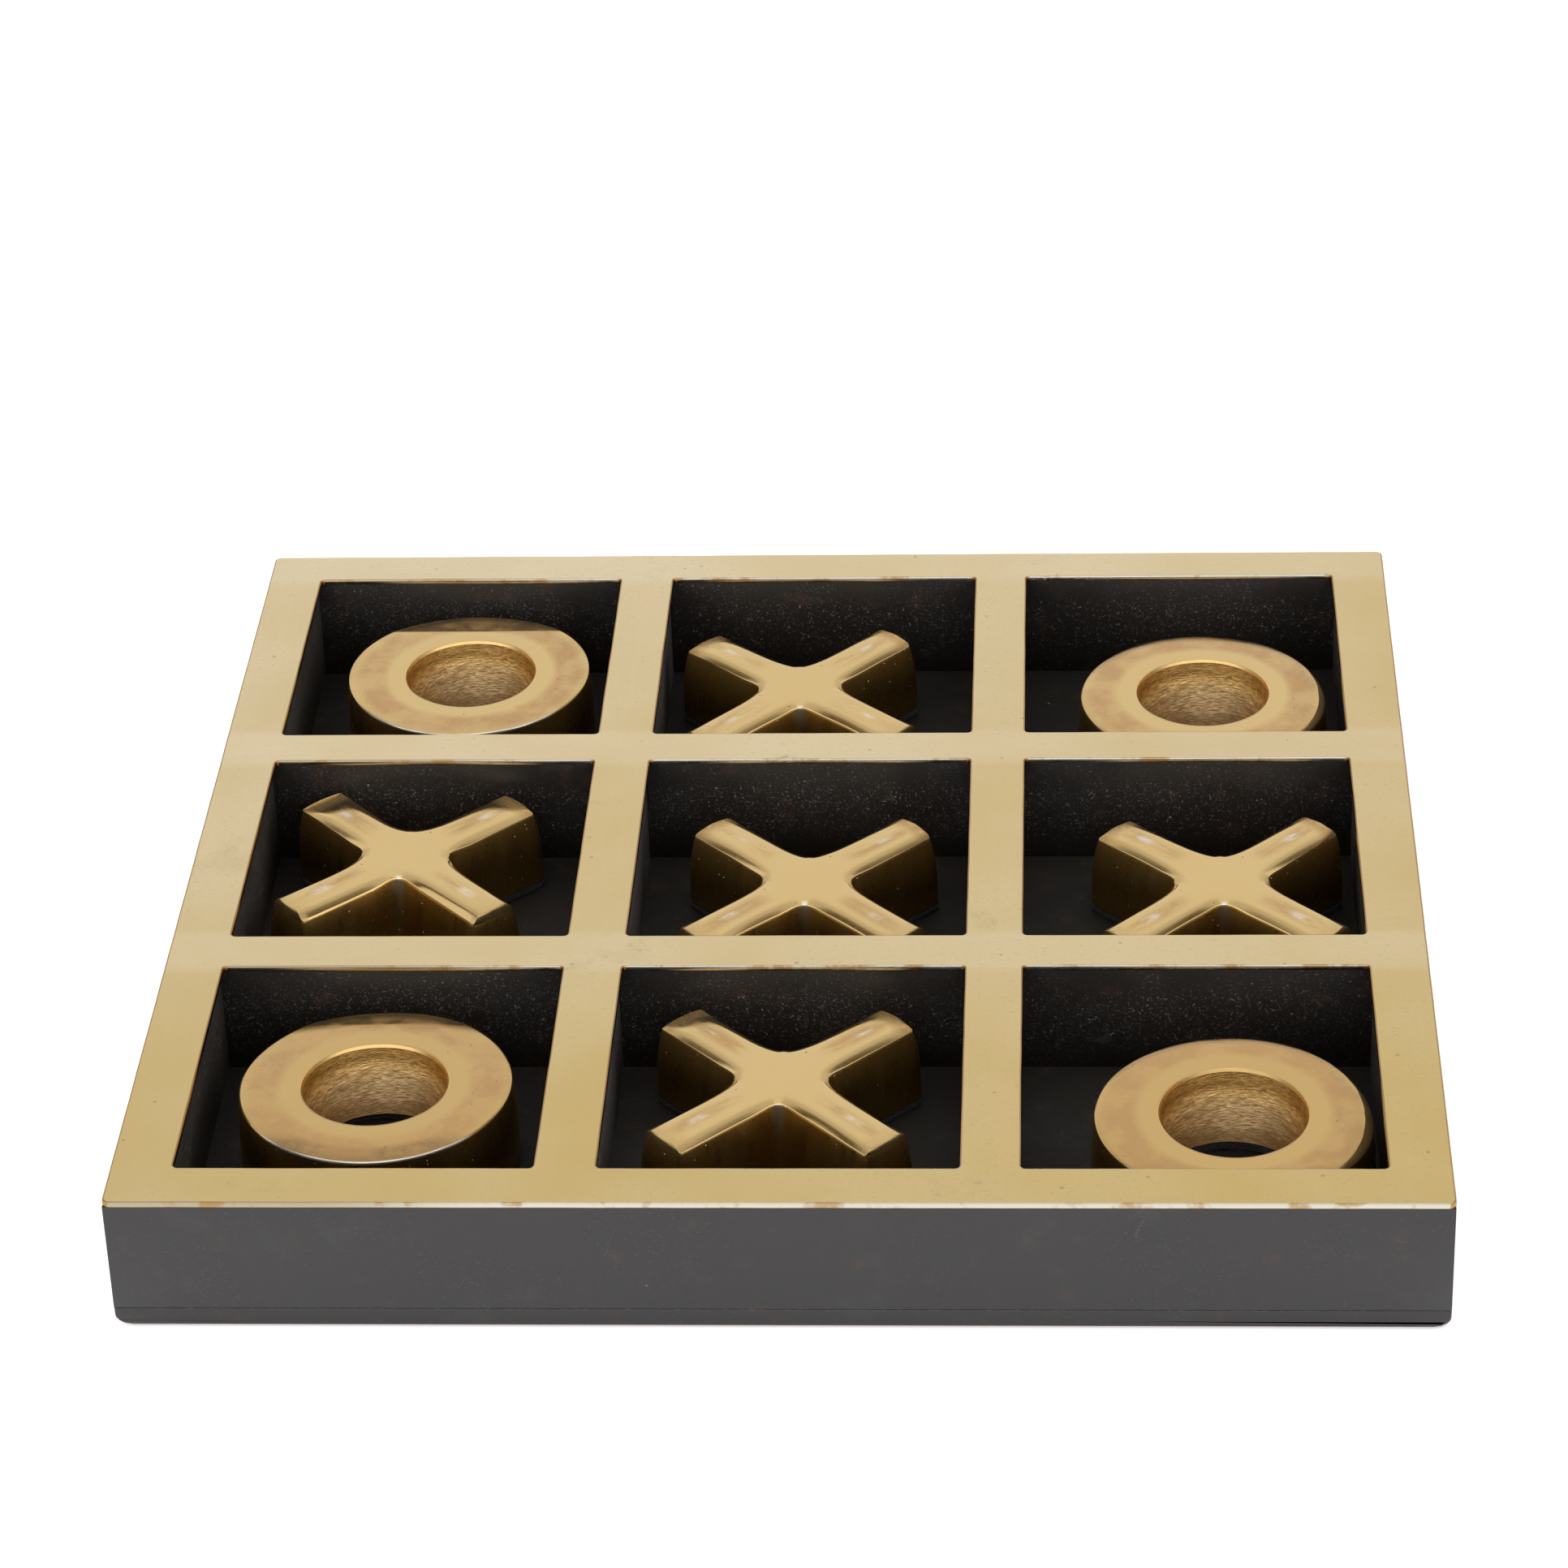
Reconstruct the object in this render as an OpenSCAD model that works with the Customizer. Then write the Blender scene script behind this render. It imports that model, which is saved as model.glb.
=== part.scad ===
// Tic-tac-toe board: a black wooden tray with nine compartments under a sheet-brass grid,
// and in each compartment a cast brass cross or ring that stands on its own felt pad.
// +Z is up, the front of the board faces -Y, and the origin is the centre of the underside.

/* [Brass grid] */
// Side of each square window
window_side = 54; // [46:0.5:80]
// Width of the bars between the windows
bar_w = 9.5; // [5:0.25:20]
// Width of the border round the nine windows
border_w = 9.5; // [5:0.25:20]
// Thickness of the sheet brass
plate_t = 0.9; // [0.5:0.1:3]
// Radius of the outer corners of the grid
plate_corner_r = 1.2; // [0.4:0.1:4]
// Radius of the window corners
window_corner_r = 0.7; // [0.3:0.1:4]

/* [Tray] */
// How far the brass reaches over the wood into each compartment
ledge = 0.75; // [0:0.05:1.5]
// How far the brass reaches past the outer faces of the walls
lip = 0.1; // [0:0.05:0.5]
// Height of the walls and dividers
wall_h = 18.6; // [16:0.2:40]
// Thickness of the bottom board
panel_t = 3.1; // [2.2:0.1:8]
// Radius of the rounded lower edges of the bottom board
panel_edge_r = 0.5; // [0.2:0.1:2.2]
// Depth of the grooves that house the ends of the dividers
housing_d = 2; // [1:0.25:3]
// Gap between a divider and each side of its groove or halving
slot_gap = 0.1; // [0:0.05:0.3]
// Thickness of the felt under the tray
base_felt_t = 0.3; // [0.2:0.1:3]
// How far the felt under the tray stays inside the flat of the bottom board
base_felt_inset = 0; // [0:0.1:10]

/* [Playing pieces] */
// Height of a brass piece at its crown
piece_h = 13.3; // [8:0.1:25]
// Drop from the crown to the sharp edge round the top
crown_drop = 1.1; // [0.3:0.1:3]
// Thickness of the felt pad under each piece
felt_t = 1.6; // [0.6:0.1:3]
// How far a felt pad stays inside the foot of its piece
felt_inset = 0.3; // [0:0.05:2]
// Least gap, seen from above, between a piece and the edge of its window
piece_gap = 0.15; // [0.1:0.05:2]

/* [Crosses] */
// Distance from the centre to the end of an arm, at the top edge
arm_reach = 24; // [16:0.5:28]
// Width of an arm, at the top edge
arm_w = 8.1; // [5:0.1:12]
// Radius of the rounded corners between the arms, at the top edge
crotch_r = 4.2; // [2:0.1:8]
// How far the sides lean out from the top edge to the foot
cross_flare = 1.2; // [0:0.1:1.8]
// Width of the level crest along the middle of an arm
crest_w = 1.2; // [0.4:0.1:3]

/* [Rings] */
// Radius of a ring, at the top edge
ring_r = 21.1; // [17:0.1:24]
// Radius of the bore
bore_r = 11.5; // [6:0.1:13]
// How far the outer side leans out from the top edge to the foot
ring_flare = 0.6; // [0:0.1:2]
// Radius of the circle along which the top is highest
ring_crown_r = 14.5; // [13.7:0.1:16]
// Width of the bevel at the upper end of the bore
bore_bevel = 0.5; // [0.2:0.1:1]

/* [Hidden] */

// Where each piece lies: column and row of its compartment, counted from the middle one,
// its share of the free play to the right and to the back, and a cross's turn in degrees
X_SPOTS = [
    [0, 1, -0.69, -0.52, 2.8],
    [-1, 0, -0.61, 1, -2.3],
    [0, 0, 0.12, -0.5, -1.2],
    [1, 0, 1, -0.54, 1.3],
    [0, -1, -0.18, 0.72, -1.2]];
O_SPOTS = [
    [-1, 1, 0.43, 0.33],
    [1, 1, 0.66, -1],
    [-1, -1, 0, 0.29],
    [1, -1, 0.95, -1]];

BRASS_SHEET = [0.79, 0.69, 0.46];
BRASS_CAST = [0.84, 0.74, 0.52];
BLACK_WOOD = [0.13, 0.12, 0.12];
BLACK_FELT = [0.07, 0.07, 0.08];
ROSE_FELT = [0.55, 0.16, 0.27];

// Steps along a rounded corner of a cross, along a curved side and along a domed top
CROTCH_STEPS = 8;
SIDE_STEPS = 5;
DOME_STEPS = 5;
// Facets of a drawn circle
ROUND = 96;
// How far a cutter runs past what it cuts
PAST = 1;

cell = window_side + 2 * ledge;
pitch = window_side + bar_w;
plate_side = 3 * window_side + 2 * bar_w + 2 * border_w;
tray_side = plate_side - 2 * lip;
wall_t = border_w - ledge - lip;
divider_t = bar_w - 2 * ledge;
slot_w = divider_t + 2 * slot_gap;
inner_side = tray_side - 2 * wall_t;
divider_len = inner_side + 2 * (housing_d - slot_gap);
floor_z = base_felt_t + panel_t;
plate_z = floor_z + wall_h;
edge_h = piece_h - crown_drop;
foot_half_w = arm_w / 2 + cross_flare;
foot_reach = arm_reach + cross_flare;
foot_r = ring_r + ring_flare;

// How far a side has leaned out at a share of the way down from the top edge to the foot
function lean(flare, down) = flare * (1 - pow(1 - down, 3));

// Height of the domed top at a share of the way in from its sharp edge to the crown
function dome_z(inwards) = edge_h + crown_drop * (1 - pow(1 - inwards, 2));

// How far a piece of this half width may lie off the middle and still lift straight out
function play(half_span) = window_side / 2 - half_span - piece_gap;

// Centre of a piece in the plan of the board
function spot_xy(spot, half_span) = [
    spot[0] * pitch + spot[2] * play(half_span),
    spot[1] * pitch + spot[3] * play(half_span)];

// Half the side of the upright square that just holds a cross turned by this angle
function cross_half_span(turn) =
    foot_reach * cos(45 - abs(turn)) + foot_half_w * sin(45 - abs(turn));

// A point turned about the origin
function turned(p, a) = [p.x * cos(a) - p.y * sin(a), p.x * sin(a) + p.y * cos(a)];

// One arm of a cross along +X with the rounded corner that leads to the next arm
function arm_points(half_w, reach, r) = concat(
    [[reach, -half_w], [reach, half_w]],
    [for (i = [0:CROTCH_STEPS])
        let (a = 270 - 90 * i / CROTCH_STEPS)
        [half_w + r + r * cos(a), half_w + r + r * sin(a)]]);

// Outline of a cross, grown outwards by this much from its top edge
function cross_outline(out) = [
    for (arm = [0:3])
        for (p = arm_points(arm_w / 2 + out, arm_reach + out, crotch_r - out))
            turned(p, 90 * arm)];

// Growth and height of each level of a cross, from the foot to the crest
function cross_levels() = concat(
    [for (i = [0:SIDE_STEPS])
        let (down = pow(1 - i / SIDE_STEPS, 1.5))
        [lean(cross_flare, down), edge_h * (1 - down)]],
    [for (i = [1:DOME_STEPS])
        let (inwards = i / DOME_STEPS)
        [-inwards * (arm_w - crest_w) / 2, dome_z(inwards)]]);

// Half section of a ring: up the outer side, over the dome and down the bore
function ring_profile() = concat(
    [[bore_r, 0]],
    [for (i = [0:SIDE_STEPS])
        let (down = pow(1 - i / SIDE_STEPS, 1.5))
        [ring_r + lean(ring_flare, down), edge_h * (1 - down)]],
    [for (i = [1:DOME_STEPS])
        let (inwards = i / DOME_STEPS)
        [ring_r - inwards * (ring_r - ring_crown_r), dome_z(inwards)]],
    [[bore_r + bore_bevel, piece_h - bore_bevel / 4], [bore_r, piece_h - bore_bevel]]);

module rounded_square(side, r) {
    square([side - 2 * r, side], center = true);
    square([side, side - 2 * r], center = true);
    for (x = [-1, 1], y = [-1, 1])
        translate([x * (side / 2 - r), y * (side / 2 - r)])
            circle(r = r, $fn = ROUND);
}

// A square board, rounded along the two lower edges that run along X
module panel_bar() {
    half_flat = tray_side / 2 - panel_edge_r;
    translate([-tray_side / 2, -tray_side / 2, panel_edge_r])
        cube([tray_side, tray_side, panel_t - panel_edge_r]);
    translate([-tray_side / 2, -half_flat, 0])
        cube([tray_side, 2 * half_flat, panel_edge_r]);
    intersection() {
        translate([-tray_side / 2, -tray_side / 2, 0])
            cube([tray_side, tray_side, panel_edge_r]);
        for (y = [-half_flat, half_flat])
            translate([-tray_side / 2, y, panel_edge_r])
                rotate([0, 90, 0])
                    cylinder(r = panel_edge_r, h = tray_side, $fn = ROUND);
    }
}

module underside_felt() {
    side = tray_side - 2 * (panel_edge_r + base_felt_inset);
    color(ROSE_FELT)
        translate([-side / 2, -side / 2, 0])
            cube([side, side, base_felt_t]);
}

module base_panel() {
    color(BLACK_WOOD)
        translate([0, 0, base_felt_t])
            intersection() {
                panel_bar();
                rotate([0, 0, 90])
                    panel_bar();
            }
}

// A wall along X with its outer face towards -Y, grooved inside for two dividers
module wall(length, outer_y) {
    color(BLACK_WOOD)
        translate([0, outer_y, floor_z])
            difference() {
                translate([-length / 2, 0, 0])
                    cube([length, wall_t, wall_h]);
                for (x = [-pitch / 2, pitch / 2])
                    translate([x - slot_w / 2, wall_t - housing_d, -PAST])
                        cube([slot_w, housing_d + PAST, wall_h + 2 * PAST]);
            }
}

module front_wall() {
    wall(tray_side, -tray_side / 2);
}

module back_wall() {
    rotate([0, 0, 180])
        wall(tray_side, -tray_side / 2);
}

module left_wall() {
    rotate([0, 0, -90])
        wall(inner_side, -tray_side / 2);
}

module right_wall() {
    rotate([0, 0, 90])
        wall(inner_side, -tray_side / 2);
}

// A divider along X, halved where it crosses the other two, from this height upwards
module divider(cut_z) {
    color(BLACK_WOOD)
        translate([0, 0, floor_z])
            difference() {
                translate([-divider_len / 2, -divider_t / 2, 0])
                    cube([divider_len, divider_t, wall_h]);
                for (x = [-pitch / 2, pitch / 2])
                    translate([x - slot_w / 2, -divider_t / 2 - PAST, cut_z])
                        cube([slot_w, divider_t + 2 * PAST, wall_h / 2 + PAST]);
            }
}

// A divider from left to right, halved from above
module divider_across(row) {
    translate([0, row * pitch / 2, 0])
        divider(wall_h / 2);
}

// A divider from front to back, halved from below
module divider_along(column) {
    translate([column * pitch / 2, 0, 0])
        rotate([0, 0, 90])
            divider(-PAST);
}

module brass_grid() {
    color(BRASS_SHEET)
        translate([0, 0, plate_z])
            linear_extrude(plate_t)
                difference() {
                    rounded_square(plate_side, plate_corner_r);
                    for (x = [-pitch, 0, pitch], y = [-pitch, 0, pitch])
                        translate([x, y])
                            rounded_square(window_side, window_corner_r);
                }
}

// A closed skin over outlines of equal length, one for each level, all triangles
module skin(levels) {
    outline_len = len(cross_outline(0));
    last = len(levels) - 1;
    foot_centre = (last + 1) * outline_len;
    crest_centre = foot_centre + 1;
    points = concat(
        [for (level = levels)
            for (p = cross_outline(level[0]))
                [p.x, p.y, level[1]]],
        [[0, 0, levels[0][1]], [0, 0, levels[last][1]]]);
    faces = [
        for (i = [0:outline_len - 1])
            let (next = (i + 1) % outline_len)
            each concat(
                [[foot_centre, i, next]],
                [for (j = [0:last - 1])
                    let (low = j * outline_len, high = low + outline_len)
                    each [[low + i, high + i, high + next], [low + i, high + next, low + next]]],
                [[crest_centre, last * outline_len + next, last * outline_len + i]])];
    polyhedron(points, faces);
}

// Brings a cross from the origin to its place, its foot at this height above the floor
module at_x_spot(n, height) {
    spot = X_SPOTS[n - 1];
    xy = spot_xy(spot, cross_half_span(spot[4]));
    translate([xy.x, xy.y, floor_z + height])
        rotate([0, 0, 45 + spot[4]])
            children();
}

// Brings a ring from the origin to its place, its foot at this height above the floor
module at_o_spot(n, height) {
    xy = spot_xy(O_SPOTS[n - 1], foot_r);
    translate([xy.x, xy.y, floor_z + height])
        children();
}

module x_piece(n) {
    color(BRASS_CAST)
        at_x_spot(n, felt_t)
            skin(cross_levels());
}

module x_felt(n) {
    color(BLACK_FELT)
        at_x_spot(n, 0)
            linear_extrude(felt_t)
                polygon(cross_outline(cross_flare - felt_inset));
}

module o_piece(n) {
    color(BRASS_CAST)
        at_o_spot(n, felt_t)
            rotate_extrude($fn = ROUND)
                polygon(ring_profile());
}

module o_felt(n) {
    color(BLACK_FELT)
        at_o_spot(n, 0)
            difference() {
                cylinder(r = foot_r - felt_inset, h = felt_t, $fn = ROUND);
                translate([0, 0, -PAST])
                    cylinder(r = bore_r + felt_inset, h = felt_t + 2 * PAST, $fn = ROUND);
            }
}

underside_felt();
base_panel();
front_wall();
back_wall();
left_wall();
right_wall();
divider_across(-1);  // divider_across_front
divider_across(1);  // divider_across_back
divider_along(-1);  // divider_along_left
divider_along(1);  // divider_along_right
brass_grid();
x_piece(1);  // x_piece_1
x_piece(2);  // x_piece_2
x_piece(3);  // x_piece_3
x_piece(4);  // x_piece_4
x_piece(5);  // x_piece_5
x_felt(1);  // x_felt_1
x_felt(2);  // x_felt_2
x_felt(3);  // x_felt_3
x_felt(4);  // x_felt_4
x_felt(5);  // x_felt_5
o_piece(1);  // o_piece_1
o_piece(2);  // o_piece_2
o_piece(3);  // o_piece_3
o_piece(4);  // o_piece_4
o_felt(1);  // o_felt_1
o_felt(2);  // o_felt_2
o_felt(3);  // o_felt_3
o_felt(4);  // o_felt_4
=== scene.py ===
"""Dresses the tic-tac-toe board: a black wooden tray under a hand-cut sheet-brass grid, with cast
brass crosses and rings that stand on felt pads in its compartments.

Sizes are in millimetres in the board's own frame and turn into metres as each mesh is made.
"""

import logging
import math
import random
from collections.abc import Sequence
from dataclasses import dataclass, field
from enum import Enum
from functools import cached_property, reduce

import bmesh
import bpy
from mathutils import Matrix, Vector, geometry, noise


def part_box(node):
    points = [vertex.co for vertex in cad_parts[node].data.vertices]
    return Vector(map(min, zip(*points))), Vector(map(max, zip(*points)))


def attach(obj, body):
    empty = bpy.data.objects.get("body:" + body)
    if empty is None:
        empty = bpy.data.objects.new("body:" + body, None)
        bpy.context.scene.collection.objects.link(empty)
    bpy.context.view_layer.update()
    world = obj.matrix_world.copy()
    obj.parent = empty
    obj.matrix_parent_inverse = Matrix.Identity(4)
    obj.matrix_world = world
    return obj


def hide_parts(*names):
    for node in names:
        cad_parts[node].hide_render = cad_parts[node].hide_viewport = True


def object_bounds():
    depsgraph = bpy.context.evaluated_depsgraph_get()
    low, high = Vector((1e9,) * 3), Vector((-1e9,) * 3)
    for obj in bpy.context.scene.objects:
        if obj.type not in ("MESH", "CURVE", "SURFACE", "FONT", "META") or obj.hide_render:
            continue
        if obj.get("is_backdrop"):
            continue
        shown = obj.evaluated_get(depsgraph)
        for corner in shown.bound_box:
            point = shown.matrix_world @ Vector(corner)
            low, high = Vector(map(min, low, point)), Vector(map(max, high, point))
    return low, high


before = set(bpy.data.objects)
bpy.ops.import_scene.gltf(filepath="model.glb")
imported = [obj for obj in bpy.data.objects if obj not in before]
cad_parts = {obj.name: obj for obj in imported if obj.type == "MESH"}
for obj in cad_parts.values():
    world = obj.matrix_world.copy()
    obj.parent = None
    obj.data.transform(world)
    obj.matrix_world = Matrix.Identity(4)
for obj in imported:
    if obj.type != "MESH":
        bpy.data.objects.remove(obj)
CAD_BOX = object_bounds()

log = logging.getLogger("board")

MM = 0.001
MADE_AT = "made_at"
LOT = "lot"
Pair = tuple[float, float]
Triple = tuple[float, float, float]
Colour = Triple
Socket = bpy.types.NodeSocket


class Body(str, Enum):
    """The moving bodies of the board by the start of their names."""

    BOARD = "board"
    CROSS = "cross"
    RING = "ring"


class Slot(str, Enum):
    """The record's material slots."""

    SHEET_BRASS = "sheet_brass"
    CAST_BRASS = "cast_brass"
    BLACK_WOOD = "black_wood"
    BLACK_FELT = "black_felt"
    ROSE_FELT = "rose_felt"


class Grain(Enum):
    """Which way the grain of a slat runs."""

    ACROSS = 0
    ALONG = 1


def node_box(node: str) -> tuple[Vector, Vector]:
    """A CAD node's lowest and highest corner in millimetres.

    Args:
        node: the node's name.

    Returns:
        The two corners.
    """
    low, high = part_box(node)
    return low / MM, high / MM


def wobble(point: Vector, reach: float, wave: float, seed: float) -> Vector:
    """A smooth random shift, the same for the same point each run.

    Args:
        point: where it is asked for, in millimetres.
        reach: about how far it shifts at most.
        wave: the length of its waves.
        seed: sets one piece's waves apart from another's.

    Returns:
        The shift in millimetres.
    """
    spot = point / wave + Vector((seed * 7.3, seed * 3.1, seed * 5.7))
    apart = (0.0, 31.4, 67.9)
    return Vector([noise.noise(spot + Vector((far, far, far))) for far in apart]) * reach


def lies_inside(point: Vector, outline: Sequence[Vector]) -> bool:
    """Whether a point lies within a closed outline, seen from above.

    Args:
        point: the point.
        outline: the outline's points in order.

    Returns:
        True when it does.
    """
    odd = False
    for i, a in enumerate(outline):
        b = outline[i - 1]
        if (a.y > point.y) != (b.y > point.y):
            odd ^= point.x < a.x + (point.y - a.y) * (b.x - a.x) / (b.y - a.y)
    return odd


def arc(cx: float, cy: float, radius: float, start: float, end: float, steps: int) -> list[Vector]:
    """Points along an arc, both ends with it.

    Args:
        cx: x of its centre.
        cy: y of its centre.
        radius: its radius.
        start: angle of its first point in degrees.
        end: angle of its last point in degrees.
        steps: how many chords it has.

    Returns:
        steps + 1 points at height 0.
    """
    angles = (math.radians(start + (end - start) * i / steps) for i in range(steps + 1))
    return [Vector((cx + radius * math.cos(a), cy + radius * math.sin(a), 0.0)) for a in angles]


def between(a: Vector, b: Vector, steps: int) -> list[Vector]:
    """The points that part the way from a to b into equal steps, without the ends.

    Args:
        a: the first end.
        b: the second end.
        steps: how many steps.

    Returns:
        steps - 1 points.
    """
    return [a.lerp(b, i / steps) for i in range(1, steps)]


def rounded_window(x: Pair, y: Pair, radius: float, step: float) -> list[Vector]:
    """The outline of an upright rectangle with round corners, anticlockwise.

    Args:
        x: its left and right side.
        y: its front and back side.
        radius: radius of its corners.
        step: about how far apart its points are along the sides.

    Returns:
        Its points at height 0.
    """
    left, right = x[0] + radius, x[1] - radius
    front, back = y[0] + radius, y[1] - radius
    spots = ((right, front, 270), (right, back, 0), (left, back, 90), (left, front, 180))
    corners = [arc(cx, cy, radius, angle, angle + 90, 4) for cx, cy, angle in spots]
    points: list[Vector] = []
    for here, after in zip(corners, corners[1:] + corners[:1]):
        side = (after[0] - here[-1]).length
        points += here + between(here[-1], after[0], max(2, round(side / step)))
    return points


def pulled_in(loop: Sequence[Vector], by: float) -> list[Vector]:
    """A closed outline moved towards its inside.

    Args:
        loop: its points, anticlockwise.
        by: how far, in millimetres.

    Returns:
        The moved points.
    """
    moved = []
    for before, point, after in zip(loop[-1:] + list(loop[:-1]), loop, list(loop[1:]) + list(loop[:1])):
        along = (after - before).normalized()
        moved.append(point + Vector((-along.y, along.x, 0.0)) * by)
    return moved


@dataclass
class Skin:
    """A mesh being put together, in millimetres."""

    corners: list[Vector] = field(default_factory=list)
    faces: list[tuple[int, ...]] = field(default_factory=list)
    finishes: list[int] = field(default_factory=list)

    def loop(self, points: Sequence[Vector]) -> list[int]:
        """Adds corners.

        Args:
            points: where they are.

        Returns:
            Their numbers.
        """
        start = len(self.corners)
        self.corners += [Vector(p) for p in points]
        return list(range(start, len(self.corners)))

    def face(self, corners: Sequence[int], finish: int = 0) -> None:
        """Adds one face with the finish of this number."""
        self.faces.append(tuple(corners))
        self.finishes.append(finish)

    def band(self, low: Sequence[int], high: Sequence[int], finish: int = 0) -> None:
        """Closes the strip between two loops of equal length that run anticlockwise.

        Args:
            low: the lower loop's corners.
            high: the upper loop's corners.
            finish: number of the finish.
        """
        for a, b, c, d in zip(low, [*low[1:], low[0]], [*high[1:], high[0]], high):
            self.face((a, b, c, d), finish)

    def stack(self, loops: Sequence[list[int]]) -> None:
        """Closes the strips between loops that lie on top of each other, the bottom and the top.

        Args:
            loops: each loop's corners, from the lowest loop to the highest.
        """
        for low, high in zip(loops, loops[1:]):
            self.band(low, high)
        self.face(loops[-1])
        self.face(loops[0][::-1])

    def spike(self, root: Vector, along: Vector, length: float, width: float, droop: float) -> None:
        """Adds a fibre: a thin three-sided needle with a bend in its middle.

        Args:
            root: where it grows.
            along: its direction.
            length: its length.
            width: its width at the root.
            droop: how far its tip hangs down.
        """
        side = along.orthogonal().normalized()
        other = along.cross(side).normalized()
        spots = [(math.cos(a) * side + math.sin(a) * other) * width / 2 for a in (0.0, 2.1, 4.2)]
        low = self.loop([root + s for s in spots])
        bend = root + along * length * 0.55 - Vector((0, 0, droop * 0.3))
        high = self.loop([bend + s * 0.7 for s in spots])
        tip = self.loop([root + along * length - Vector((0, 0, droop))])[0]
        self.band(low, high)
        self.face(low[::-1])
        for a, b in zip(high, high[1:] + high[:1]):
            self.face((a, b, tip))

    def piece(self, name: str, materials: Sequence[bpy.types.Material], crease: float = 40.0,
              lot: int = 0) -> bpy.types.Object:
        """Makes the Blender object.

        Args:
            name: the piece's name.
            materials: its finishes in the order of their numbers.
            crease: edges sharper than this many degrees stay sharp.
            lot: sets the wear of one piece apart from another's.

        Returns:
            The new object, in the scene.
        """
        mesh = bpy.data.meshes.new(name)
        mesh.from_pydata([p * MM for p in self.corners], [], self.faces)
        for material in materials:
            mesh.materials.append(material)
        mesh.polygons.foreach_set("material_index", self.finishes)
        mesh.polygons.foreach_set("use_smooth", [True] * len(self.faces))
        made_at = mesh.attributes.new(MADE_AT, "FLOAT_VECTOR", "POINT")
        made_at.data.foreach_set("vector", [number * MM for p in self.corners for number in p])
        lots = mesh.attributes.new(LOT, "FLOAT", "POINT")
        lots.data.foreach_set("value", [lot * 0.1] * len(self.corners))
        mesh.update()
        mesh.set_sharp_from_angle(angle=math.radians(crease))
        thing = bpy.data.objects.new(name, mesh)
        bpy.context.scene.collection.objects.link(thing)
        return thing


def settle(piece: bpy.types.Object, body: str, slot: Slot, *nodes: str) -> bpy.types.Object:
    """Gives a piece its body, its slot and the CAD nodes that it stands for.

    Args:
        piece: the piece.
        body: the body that it rides on.
        slot: the record's slot for its finish; not used.
        *nodes: the CAD nodes that it replaces.

    Returns:
        The same piece.
    """
    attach(piece, body)
    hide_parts(*nodes)
    log.info("%s rides on %s and stands for %s", piece.name, body, ", ".join(nodes))
    return piece


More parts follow.
